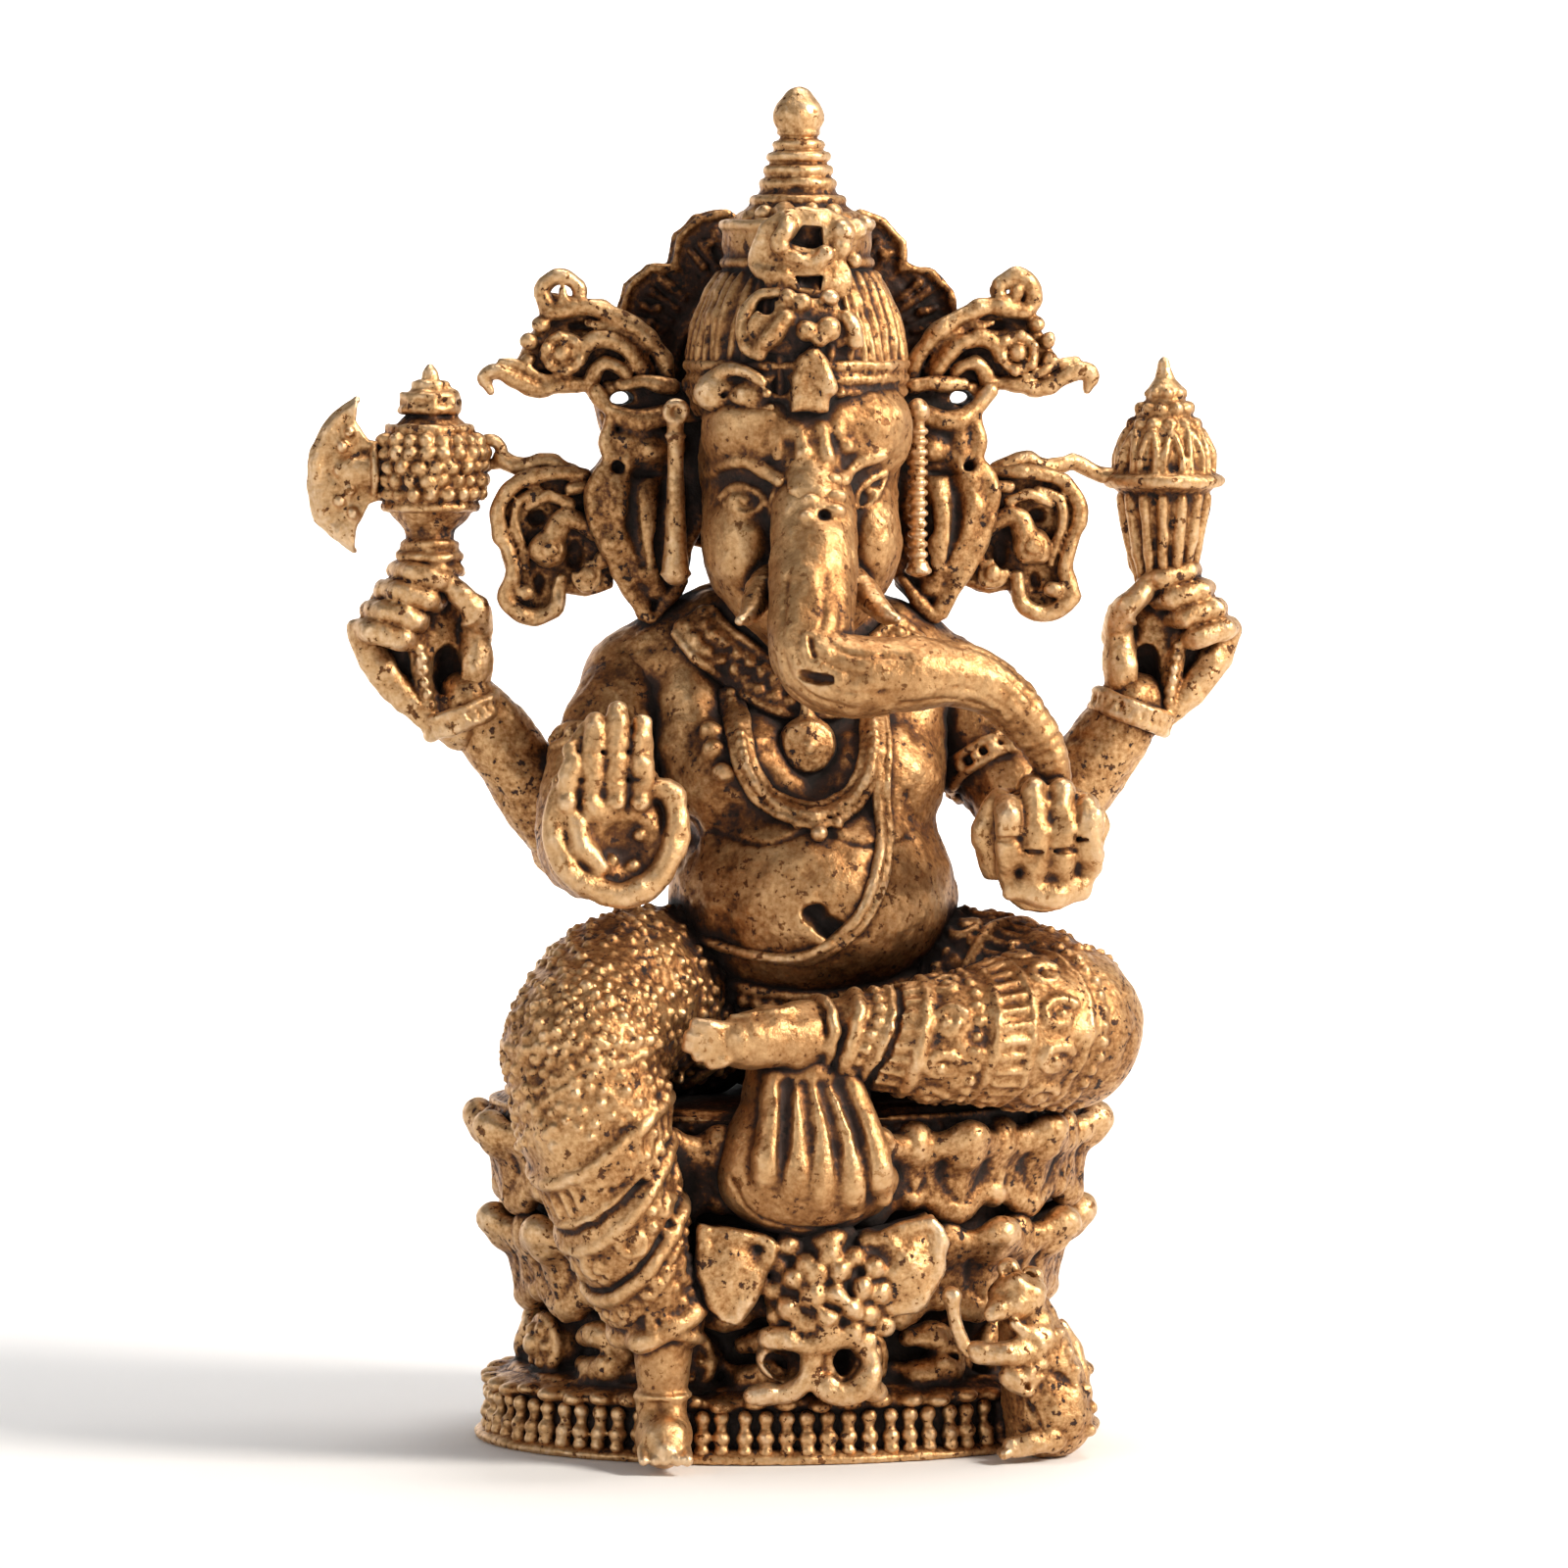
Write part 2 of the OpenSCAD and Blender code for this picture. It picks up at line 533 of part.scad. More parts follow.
module bud_hand() color(bright_brass)
  one_skin() {
    translate([12.3, 1.1, 24.6]) rotate([0, 38, 0]) cylinder(r = 1.6, h = 0.5, center = true, $fn = 24);
    limb([[12.2, 1.1, 24.7, 1.1], [13.0, 1.1, 25.9, 1.2], [13.1, 1.1, 27.2, 0.9]]);
    for (i = [0 : 3])
      limb([[11.8, 0.6, 25.6 + i * 0.7, 0.4], [13.3, 0.15, 25.3 + i * 0.74, 0.45], [14.7, 0.6, 25.5 + i * 0.68, 0.42]], fine_bead);
    limb([[14.3, 1.2, 25.2, 0.5], [15.0, 1.2, 26.6, 0.42], [14.3, 1.0, 27.9, 0.36]], fine_bead);
  }

// Half-open lotus on a fluted stem
module lotus_bud() color(brass)
  translate([13.0, 1.1, 0]) rotate_extrude($fn = smooth)
    polygon([[0, 27.8], [0.75, 27.8], [0.95, 28.6], [1.45, 31.3], [1.6, 31.6], [1.95, 31.9], [1.95, 32.2], [1.55, 32.4],
             [1.6, 32.9], [1.3, 33.7], [0.95, 34.0], [1.0, 34.4], [0.65, 34.7], [0.7, 35.0], [0.4, 35.25],
             [0.4, 35.5], [0, 36.0]]);

// Thin rods that tie the raised emblems to the scrolls behind
module left_strut() color(brass)
  one_skin() difference() {
    union() {
      limb([[-7.2, 0.5, 32.2, 0.42], [-8.6, 0.7, 32.5, 0.4], [-9.5, 0.9, 32.7, 0.38]], fine_bead);
      translate([-9.9, 1.0, 32.9]) rotate([90, 0, 0]) rotate_extrude($fn = 14) translate([0.45, 0]) circle(r = 0.25, $fn = fine_bead);
    }
    axe_pot();
  }

module right_strut() color(brass)
  one_skin() difference() {
    limb([[7.2, 0.5, 32.2, 0.42], [8.7, 0.7, 32.5, 0.4], [10.0, 0.9, 32.1, 0.38], [11.3, 1.0, 32.0, 0.38]], fine_bead);
    lotus_bud();
  }

// ---- legs ----

module hanging_thigh_form()
  limb([[-3.6, -0.6, 14.4, 2.9], [-5.9, -3.6, 15.2, 2.75], [-7.4, -6.4, 14.9, 2.5]], body_fn);

module hanging_thigh() color(brass)
  one_skin() difference() {
    hanging_thigh_form();
    torso_form();
    oval_slab(upper_petal_rx - 1.1, upper_top, seat_top);
  }

module hanging_shin() color(brass)
  one_skin() difference() {
    union() {
      limb([[-7.5, -6.7, 14.2, 2.5], [-7.1, -7.3, 11.5, 2.3], [-6.2, -7.2, 8.0, 1.9], [-5.3, -6.9, 5.4, 1.5]], body_fn);
      // hem of the dhoti
      limb([[-6.4, -7.0, 5.2, 0.6], [-5.1, -7.9, 4.6, 0.6], [-4.1, -7.0, 5.0, 0.6]], coarse);
    }
    hanging_thigh_form();
    oval_slab(lower_petal_rx - 1, frieze_top, upper_top);
  }

module hanging_foot() color(bright_brass)
  one_skin() difference() {
    limb([[-5.1, -7.0, 4.2, 0.95], [-5.1, -7.1, 2.2, 0.95], [-5.15, -7.5, 1.15, 1.0], [-5.2, -8.3, 0.8, 0.72]]);
    oval_slab(plinth_rx - 0.6, 0, plinth_top);
    oval_slab(frieze_rx, plinth_top, frieze_top);
  }

module folded_thigh_form()
  limb([[3.6, -0.4, 14.4, thigh_r], [6.4, -2.4, 14.4, thigh_r], [8.0, -4.2, 14.2, thigh_r - 0.05]], body_fn);

module folded_thigh() color(brass)
  one_skin() difference() {
    folded_thigh_form();
    torso_form();
    oval_slab(upper_petal_rx - 1.1, upper_top, seat_top);
  }

module folded_shin() color(brass)
  one_skin() difference() {
    limb([[8.1, -5.0, 14.0, 2.7], [5.6, -6.3, 13.9, 2.3], [2.6, -7.0, 13.9, 1.75], [0.0, -7.2, 14.0, 1.2]], body_fn);
    folded_thigh_form();
    torso_form();
    oval_slab(upper_petal_rx - 1.1, upper_top, seat_top);
  }

module folded_foot() color(bright_brass)
  one_skin() difference() {
    limb([[-0.9, -7.4, 14.1, 1.0], [-2.4, -8.0, 14.3, 0.95], [-4.4, -8.4, 14.4, 0.6]], coarse);
    ball([0.0, -7.2, 14.0, 1.2]);
    hanging_thigh_form();
  }

base_plinth();
plinth_beads();
frieze_drum();
lower_lotus();
upper_lotus();
seat_cushion();
flower_cluster();
dhoti_pleats();
mouse();
mouse_staff();
torso();
collar_necklace();
long_necklace();
sacred_thread();
waist_belt();
head();
trunk();
left_tusk();
right_tusk();
left_ear();
right_ear();
left_ear_drop();
right_ear_drop();
left_upper_scroll();
right_upper_scroll();
left_lower_scroll();
right_lower_scroll();
halo_disc();
crown_dome();
crown_diadem();
crown_jewel();
crown_spire();
blessing_arm();
blessing_hand();
sweet_arm();
sweet_hand();
sweet_bowl();
axe_upper_arm();
axe_forearm();
axe_hand();
axe_pot();
axe_blade();
bud_upper_arm();
bud_forearm();
bud_hand();
lotus_bud();
left_strut();
right_strut();
hanging_thigh();
hanging_shin();
hanging_foot();
folded_thigh();
folded_shin();
folded_foot();
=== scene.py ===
"""Small cast brass Ganesha on a double lotus throne: the looks over the CAD frame.

Every piece is modelled in millimetres as a distance field on a fine grid, the way the wax would be
built up from balls, rods and rolled threads, and is then meshed. A piece is drawn at the place its
CAD node had when it was drawn (HOME) and moves with that node's box.
"""

import copy
import itertools
import json
import math
from concurrent.futures import ThreadPoolExecutor

import bpy
import numpy as np
import openvdb
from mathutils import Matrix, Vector


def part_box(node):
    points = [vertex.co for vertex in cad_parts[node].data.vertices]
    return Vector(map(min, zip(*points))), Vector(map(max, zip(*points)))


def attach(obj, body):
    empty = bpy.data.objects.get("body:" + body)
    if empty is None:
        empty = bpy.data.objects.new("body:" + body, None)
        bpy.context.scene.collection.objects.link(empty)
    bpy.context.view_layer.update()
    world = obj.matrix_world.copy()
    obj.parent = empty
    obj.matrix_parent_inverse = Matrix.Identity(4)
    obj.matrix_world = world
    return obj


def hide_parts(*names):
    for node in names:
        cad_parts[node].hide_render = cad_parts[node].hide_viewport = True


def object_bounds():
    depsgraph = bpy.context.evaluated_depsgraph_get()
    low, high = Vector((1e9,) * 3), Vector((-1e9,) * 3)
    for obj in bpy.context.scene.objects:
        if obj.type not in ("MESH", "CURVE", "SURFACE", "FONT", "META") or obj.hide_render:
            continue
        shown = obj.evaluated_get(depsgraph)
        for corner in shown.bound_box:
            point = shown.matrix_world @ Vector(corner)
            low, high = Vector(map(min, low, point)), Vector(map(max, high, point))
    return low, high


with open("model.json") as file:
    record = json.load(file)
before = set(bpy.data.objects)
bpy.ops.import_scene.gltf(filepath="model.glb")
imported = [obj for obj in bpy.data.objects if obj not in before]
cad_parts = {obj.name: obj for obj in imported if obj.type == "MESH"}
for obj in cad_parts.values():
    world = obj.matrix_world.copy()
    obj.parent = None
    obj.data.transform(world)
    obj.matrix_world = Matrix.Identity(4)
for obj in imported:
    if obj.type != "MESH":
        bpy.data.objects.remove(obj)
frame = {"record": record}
CAD_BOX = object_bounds()

MM = 0.001
CELL = 0.09          # grid cell of the modelled pieces, mm
FAR = 0.9            # distances are kept up to this, mm
PLAN = 7.6 / 10.6    # depth over width of the oval throne
HEAD_Y = -1.5        # depth of the head's and crown's middle, mm
FRONT = -12.0        # a depth in front of every piece, mm
REACH = 14.0         # how far back from there a surface is looked for, mm
V = np.array
UP = V([0.0, 0.0, 1.0])
BACK = V([0.0, 1.0, 0.0])


# ---------- the modelling tools ----------

def smooth_path(points, radii, step):
    """A curve through the points (Catmull-Rom), resampled every step mm, with its radii."""
    p = np.array(points, float)
    r = np.array(radii, float) if np.ndim(radii) else np.full(len(p), float(radii))
    if len(p) == 2:
        n = max(2, int(np.linalg.norm(p[1] - p[0]) / step) + 1)
        t = np.linspace(0, 1, n)[:, None]
        return p[0] + (p[1] - p[0]) * t, r[0] + (r[1] - r[0]) * t[:, 0]
    q = np.vstack([2 * p[0] - p[1], p, 2 * p[-1] - p[-2]])
    s = np.concatenate([[r[0]], r, [r[-1]]])
    out, rad = [], []
    for i in range(1, len(q) - 2):
        n = max(2, int(np.linalg.norm(q[i + 1] - q[i]) / step) + 1)
        t = np.linspace(0, 1, n, endpoint=False)[:, None]
        a, b, c, d = q[i - 1], q[i], q[i + 1], q[i + 2]
        out.append(0.5 * (2 * b + (c - a) * t + (2 * a - 5 * b + 4 * c - d) * t**2 + (3 * b - a - 3 * c + d)
                          * t**3))
        rad.append(s[i] + (s[i + 1] - s[i]) * (t[:, 0] * t[:, 0] * (3 - 2 * t[:, 0])))
    return np.vstack(out + [p[-1:]]), np.concatenate(rad + [s[-2:-1]])


def mixed(grid, g, edge):
    """The value of a grid at places g, told in cells, mixed from the eight cells round each."""
    g = np.clip(g, 0, V(grid.shape) - edge)
    j = g.astype(int)
    u = g - j
    out = 0
    for corner in itertools.product((0, 1), repeat=3):
        weight = 1
        for i in range(3):
            weight = weight * (u[..., i] if corner[i] else 1 - u[..., i])
        out = out + weight * grid[tuple(j[..., i] + corner[i] for i in range(3))]
    return out


def blend_min(a, b, k):
    """The lesser of two fields, with the crease between them filled to a width k."""
    if k <= 0:
        return np.minimum(a, b)
    h = np.maximum(k - np.abs(a - b), 0)
    return np.minimum(a, b) - h * h * (0.25 / k)


class Clay:
    """A lump of modelling wax: a distance field in mm, negative inside."""

    def __init__(self, low, high, cell=CELL):
        self.cell = cell
        self.low = np.array(low, float) - 3 * cell
        self.n = np.ceil((np.array(high, float) + 3 * cell - self.low) / cell).astype(int) + 1
        self.axes = [(self.low[i] + cell * np.arange(self.n[i])).astype(np.float32) for i in range(3)]
        self.f = np.full(self.n, FAR, np.float32)

    def window(self, low, high, margin):
        """The grid cells within a margin of a box, with their coordinates, or None off the grid."""
        i0 = np.clip(np.floor((np.array(low) - margin - self.low) / self.cell).astype(int), 0, self.n)
        i1 = np.clip(np.ceil((np.array(high) + margin - self.low) / self.cell).astype(int) + 1, 0, self.n)
        s = tuple(slice(a, b) for a, b in zip(i0, i1))
        if min(b - a for a, b in zip(i0, i1)) <= 0:
            return None
        return s, self.axes[0][s[0]][:, None, None], self.axes[1][s[1]][None, :,
                                                                        None], self.axes[2][s[2]][None,
                                                                                                  None, :]

    def put(self, s, d, k, cut):
        """Adds a field to the cells s, or cuts it out of them."""
        a = self.f[s]
        if cut:
            self.f[s] = -blend_min(-a, d, k)
        else:
            self.f[s] = blend_min(a, np.minimum(d, FAR), k)

    def ball(self, c, r, k=0.2, cut=False, turn=None):
        """A ball, or an egg when r has three radii, turned by a rotation matrix."""
        c = np.array(c, float)
        r3 = np.array([r] * 3 if np.ndim(r) == 0 else r, float)
        m = max(k, 0.2) + 0.1
        reach = r3.max() if turn is not None else r3
        w = self.window(c - reach, c + reach, m)
        if w is None:
            return
        s, x, y, z = w
        x, y, z = x - c[0], y - c[1], z - c[2]
        if turn is not None:
            t = turn.T
            x, y, z = (t[i][0] * x + t[i][1] * y + t[i][2] * z for i in range(3))
        if np.ndim(r) == 0:
            d = np.sqrt(x * x + y * y + z * z) - r
        else:
            k0 = np.sqrt((x / r3[0]) ** 2 + (y / r3[1]) ** 2 + (z / r3[2]) ** 2)
            k1 = np.sqrt((x / r3[0] ** 2) ** 2 + (y / r3[1] ** 2) ** 2 + (z / r3[2] ** 2) ** 2) + 1e-6
            d = k0 * (k0 - 1) / k1
        self.put(s, d.astype(np.float32), k, cut)

    def tube(self, points, r, k=0.2, cut=False, step=None):
        """A rolled thread or a limb along a smooth path."""
        rmax = np.max(r)
        p, rad = smooth_path(points, r, step or max(0.2, rmax * 0.45))
        m = max(k, 0.2) + 0.1
        w = self.window(p.min(0) - rmax, p.max(0) + rmax, m)
        if w is None:
            return
        s = w[0]
        tmp = np.full([b.stop - b.start for b in s], FAR, np.float32)
        origin = [b.start for b in s]
        for i in range(len(p) - 1):
            a, b = p[i], p[i + 1]
            rr = max(rad[i], rad[i + 1])
            w = self.window(np.minimum(a, b) - rr, np.maximum(a, b) + rr, m)
            if w is None:
                continue
            t, x, y, z = w
            x, y, z = x - a[0], y - a[1], z - a[2]
            e = b - a
            ee = float(e @ e) + 1e-9
            h = np.clip((x * e[0] + y * e[1] + z * e[2]) / ee, 0, 1)
            d = np.sqrt((x - h * e[0]) ** 2 + (y - h * e[1]) ** 2 + (z - h * e[2]) ** 2)
            d = d - (rad[i] + (rad[i + 1] - rad[i]) * h)
            t = tuple(slice(u.start - o, u.stop - o) for u, o in zip(t, origin))
            np.minimum(tmp[t], d, out=tmp[t])
        self.put(s, tmp, k, cut)

    def ring(self, c, big, small, axis=UP, k=0.1, cut=False, oval=1.0):
        """A round or oval ring about an axis."""
        axis = np.array(axis, float) / np.linalg.norm(axis)
        side = np.cross(axis, [0, 0, 1] if abs(axis[2]) < 0.9 else [0, 1, 0])
        side /= np.linalg.norm(side)
        other = np.cross(axis, side)
        t = np.radians(np.linspace(0, 360, 30))[:, None]
        self.tube(np.array(c) + big * (np.cos(t) * side + oval * np.sin(t) * other), small, k, cut)

    def beads(self, points, gap, r, k=0.05):
        """Beads strung along a path."""
        p, rad = smooth_path(points, r, 0.1)
        s = np.concatenate([[0], np.cumsum(np.linalg.norm(np.diff(p, axis=0), axis=1))])
        n = max(1, int(round(s[-1] / gap)))
        for t in (np.arange(n) + 0.5) * s[-1] / n:
            self.ball([np.interp(t, s, p[:, i]) for i in range(3)], float(np.interp(t, s, rad)), k)

    def turned_on(self, c, profile, k=0.1, cut=False, oval=1.0):
        """A shape turned about the vertical through c, from [radius, height] pairs, low to high."""
        prof = np.array(profile, float)
        rmax = prof[:, 0].max()
        lo = [c[0] - rmax, c[1] - rmax * oval, prof[0, 1]]
        hi = [c[0] + rmax, c[1] + rmax * oval, prof[-1, 1]]
        w = self.window(lo, hi, max(k, 0.2) + 0.1)
        if w is None:
            return
        s, x, y, z = w
        x, y = (x - c[0])[:, :, 0], ((y - c[1]) / oval)[:, :, 0]
        rho = np.sqrt(x * x + y * y)
        stretch = rho / (np.sqrt(x * x + (y / oval) ** 2) + 1e-6) if oval != 1 else 1.0
        rr = np.arange(0, rmax + 2, 0.04)
        out = np.empty(self.f[s].shape, np.float32)
        e0, e1 = prof[:-1], prof[1:]
        ev = e1 - e0
        for j, h in enumerate(z[0, 0]):
            q = np.stack([rr, np.full_like(rr, h)], 1)
            t = np.clip(((q[:, None] - e0) * ev).sum(2) / ((ev * ev).sum(1) + 1e-9), 0, 1)
            dist = np.sqrt((((q[:, None] - e0) - t[..., None] * ev) ** 2).sum(2)).min(1)
            if prof[0, 1] <= h <= prof[-1, 1]:
                dist = np.where(rr < np.interp(h, prof[:, 1], prof[:, 0]), -np.minimum(dist,
                                                                                       np.minimum(h
                                                                                                  - prof[0,
                                                                                                         1],
                                                                                                  prof[-1,
                                                                                                       1]
                                                                                                  - h)
                                                                                       + 1e-3), dist)
            else:
                flat = prof[0] if h < prof[0, 1] else prof[-1]
                dist = np.where(rr < flat[0], abs(h - flat[1]), dist)
            out[:, :, j] = np.interp(rho, rr, dist) * np.where(np.interp(rho, rr, dist) > -FAR, stretch, 1)
        self.put(s, out, k, cut)

    def slab(self, outline, y0, y1, k=0.1, cut=False, soft=0.12):
        """A flat plate in the XZ plane from depth y0 to y1, with softened edges. outline is closed."""
        o = np.array(outline, float)
        lo, hi = [o[:, 0].min(), y0, o[:, 1].min()], [o[:, 0].max(), y1, o[:, 1].max()]
        w = self.window(lo, hi, max(k, 0.2) + 0.1)
        if w is None:
            return
        s, x, y, z = w
        px, pz = np.meshgrid(x[:, 0, 0], z[0, 0], indexing="ij")
        best = np.full(px.shape, 1e9)
        inside = np.zeros(px.shape, bool)
        for a, b in zip(o, np.roll(o, -1, 0)):
            e = b - a
            t = np.clip(((px - a[0]) * e[0] + (pz - a[1]) * e[1]) / (e @ e + 1e-9), 0, 1)
            best = np.minimum(best, (px - a[0] - t * e[0]) ** 2 + (pz - a[1] - t * e[1]) ** 2)
            if a[1] != b[1]:
                cross = ((a[1] > pz) != (b[1] > pz)) & (px < (b[0] - a[0]) * (pz - a[1]) / (b[1] - a[1])
                                                        + a[0])
                inside ^= cross
        d2 = (np.where(inside, -1, 1) * np.sqrt(best))[:, None, :] + soft
        dy = np.abs(y - (y0 + y1) / 2) - (y1 - y0) / 2 + soft
        d = np.sqrt(np.maximum(d2, 0) ** 2 + np.maximum(dy, 0) ** 2) + np.minimum(np.maximum(d2, dy),
                                                                                  0) - soft
        self.put(s, d.astype(np.float32), k, cut)

    def keep(self, low=None, high=None):
        """Cuts away all below the low height or above the high one."""
        if low is not None:
            self.f = np.maximum(self.f, low - self.axes[2])
        if high is not None:
            self.f = np.maximum(self.f, self.axes[2] - high)

    def rough(self, amount, size, seed):
        """The unevenness of hand work and casting: a soft noise added to the surface."""
        rng = np.random.default_rng(seed)
        m = np.maximum(2, (np.array(self.n) * self.cell / size).astype(int) + 2)
        v = rng.standard_normal(m).astype(np.float32)
        for i in range(3):
            t = np.linspace(0, m[i] - 1.001, self.n[i])
            j = t.astype(int)
            u = (t - j)
            u = (u * u * (3 - 2 * u)).astype(np.float32)
            u = u.reshape([-1 if a == i else 1 for a in range(3)])
            v = np.take(v, j, i) * (1 - u) + np.take(v, j + 1, i) * u
        self.f = self.f + np.float32(amount) * v

    def sample(self, p):
        """The field at points, between grid cells."""
        return mixed(self.f, (np.asarray(p) - self.low) / self.cell, 1.001)

    def touch(self, points, direction=BACK, reach=9.0, lift=0.0):
        """Moves each point along the direction until it meets the surface."""
        p = np.atleast_2d(np.array(points, float))
        d = np.array(direction, float)
        d = d / np.linalg.norm(d, axis=-1, keepdims=True)
        d = np.broadcast_to(d, p.shape)
        t = np.arange(0, reach, self.cell * 0.6)
        q = p[:, None] + t[None, :, None] * d[:, None]
        inbox = np.all((q > self.low) & (q < self.low + self.cell * (np.array(self.n) - 1)), axis=2)
        v = np.where(inbox, self.sample(q), FAR)
        hit = v < 0
        first = np.where(hit.any(1), hit.argmax(1), v.argmin(1))
        return p + (t[first] - lift)[:, None] * d

    def front(self, x, z, lift=0.0):
        """The point of the surface seen from the front at x and z."""
        return self.touch([(x, FRONT, z)], BACK, REACH, lift)[0]

    def draw(self, xz, r, k=0.05, cut=False, host=None, lift=0.0):
        """A thread laid on (or a line scratched in) the surface as seen from the front."""
        p, rad = smooth_path([(x, FRONT, z) for x, z in xz], r, 0.25)
        p = (host or self).touch(p, BACK, REACH, lift)
        if len(p) > 4:
            p[1:-1, 1] = (p[:-2, 1] + p[1:-1, 1] * 2 + p[2:, 1]) / 4
        for i in range(len(p) - 1):
            self.tube(p[i:i + 2], rad[i:i + 2], k if i == 0 else min(k, 0.02), cut, step=9)

    def dots(self, xz, r, k=0.04, cut=False, host=None, lift=0.0):
        """Balls set on (or pits pressed in) the surface as seen from the front."""
        p = (host or self).touch([(x, FRONT, z) for x, z in xz], BACK, REACH, lift)
        for c in p:
            self.ball(c, r, k, cut)

    def mesh(self, name):
        """The name, with the points (mm) and faces of the surface."""
        grid = openvdb.FloatGrid(FAR)
        f = np.clip(self.f, -FAR, FAR).astype(np.float32)
        f[0], f[-1], f[:, 0], f[:, -1], f[:, :, 0], f[:, :, -1] = (FAR,) * 6
        grid.copyFromArray(f, tolerance=0.0)
        points, quads = grid.convertToQuads(0.0)
        return name, points * self.cell + self.low, quads


# ---------- what each CAD node is drawn as: places, sizes and radii in mm ----------

def oval_points(rx, z, angles):
    """Points on the throne's oval at half width rx, with the way out from it."""
    a = np.radians(np.atleast_1d(angles))
    p = np.stack([rx * np.cos(a), rx * PLAN * np.sin(a), np.full_like(a, z)], 1)
    n = np.stack([np.cos(a) * PLAN, np.sin(a), np.zeros_like(a)], 1)
    return p, n / np.linalg.norm(n, axis=1, keepdims=True)


def even_angles(count, first=0.0):
    """Angles that space things evenly along the oval, not evenly in angle."""
    t = np.linspace(0, 2 * math.pi, 721)
    s = np.concatenate([[0], np.cumsum(np.hypot(np.diff(np.cos(t)), PLAN * np.diff(np.sin(t))))])
    return np.degrees(np.interp((np.arange(count) + first) % count * s[-1] / count, s, t))


class Limb:
    """Places on the skin of a limb, told by how far along it and how far round it, for folds and patterns."""

    def __init__(self, clay, path, radii):
        self.skin = copy.copy(clay)
        self.skin.f = clay.f.copy()
        self.p, self.r = smooth_path(path, radii, 0.1)
        self.s = np.concatenate([[0], np.cumsum(np.linalg.norm(np.diff(self.p, axis=0), axis=1))])
        t = np.gradient(self.p, axis=0)
        self.t = t / np.linalg.norm(t, axis=1, keepdims=True)

    def at(self, s, a):
        """Skin points at s mm along and a degrees round.

        0 degrees faces the viewer, or up on a limb that runs forward.
        """
        s, a = np.broadcast_arrays(np.array(s, float), np.radians(a))
        i = np.clip(np.searchsorted(self.s, s.ravel()), 0, len(self.p) - 1)
        t = self.t[i]
        ahead = np.where(np.abs(t[:, 1:2]) > 0.75, UP, -BACK)
        ahead = ahead - (ahead * t).sum(1, keepdims=True) * t
        ahead /= np.linalg.norm(ahead, axis=1, keepdims=True)
        d = np.cos(a.ravel())[:, None] * ahead + np.sin(a.ravel())[:, None] * np.cross(ahead, t)
        out = self.p[i] + d * (self.r[i] + 0.7)[:, None]
        return self.skin.touch(out, -d, float(self.r.max()) + 0.7)

    def hoop(self, s, drape=0.0, sway=0.0):
        """A closed line round the limb, that hangs down in front by drape and to one side by sway."""
        a = np.linspace(0, 360, 41)
        return self.at(s + drape * np.cos(np.radians(a)) + sway * np.sin(np.radians(a)), a)

    def pattern(self, c, plan, drape, sway, seed):
        """Lays rows on the cloth. plan lists (kind, mm along)."""
        rng = np.random.default_rng(seed)
        for kind, s in plan:
            d, w = drape + rng.uniform(-0.15, 0.15), sway + rng.uniform(-0.15, 0.15)
            r = float(np.interp(s, self.s, self.r))
            across = math.degrees(1 / r)
            if kind == "line":
                c.tube(self.hoop(s, d, w), 0.13, 0.05)
            elif kind == "fold":
                c.tube(self.hoop(s, d, w), 0.24, 0.12)
            elif kind == "crease":
                c.tube(self.hoop(s, d, w), 0.13, 0.08, cut=True)
            elif kind == "dots":
                c.beads(self.hoop(s, d, w), 0.52, 0.2)
            elif kind == "ticks":
                top, low = self.hoop(s - 0.36, d, w), self.hoop(s + 0.36, d, w)
                n = int(2 * math.pi * r / 0.5)
                for u in np.arange(n) * 40 / n:
                    i = int(u)
                    c.tube([q[i] + (q[i + 1] - q[i]) * (u - i) for q in (top, low)], 0.13, 0.04)
            elif kind == "curls":
                n = max(5, int(2 * math.pi * r / 1.5))
                for j in range(n):
                    a0 = 360 * (j + 0.5 * (int(s * 3) % 2)) / n
                    th = np.radians(np.linspace(-150, 170, 12))
                    grow = np.linspace(1.0, 0.45, 12)
                    hang = d * np.cos(np.radians(a0)) + w * np.sin(np.radians(a0))
                    q = self.at(s + hang + 0.5 * grow * np.cos(th), a0 + 0.55 * across * grow * np.sin(th))
                    c.tube(q, np.linspace(0.2, 0.15, 12), 0.05)
                    c.ball(self.at(s + hang, a0)[0], 0.22, 0.05)

    def grains(self, c, s0, s1, a0, a1, count, seed, size=0.2):
        """Small granules strewn over part of the cloth."""
        rng = np.random.default_rng(seed)
        pts = self.at(rng.uniform(s0, s1, count), rng.uniform(a0, a1, count))
        kept = []
        for q in pts:
            if all(np.sum((q - o) ** 2) > (size * 1.9) ** 2 for o in kept):
                kept.append(q)
                c.ball(q, size * rng.uniform(0.75, 1.2), 0.05)


def dome_front(x, z, lift=0.0):
    """The point on the front of the crown at x and height z."""
    r = np.interp(z, [q[1] for q in DOME], [q[0] for q in DOME]) + lift
    return V([x, HEAD_Y - DOME_OVAL * math.sqrt(max(0.05, r * r - (x - 0.1) ** 2)), z])


def beside(path, off):
    """The line that runs off mm beside a path of (x, z) points."""
    q = smooth_path([(x, 0, z) for x, z in path], 1, 0.3)[0][:, [0, 2]]
    t = np.gradient(q, axis=0)
    t /= np.linalg.norm(t, axis=1, keepdims=True)
    return q + off * np.stack([-t[:, 1], t[:, 0]], 1)


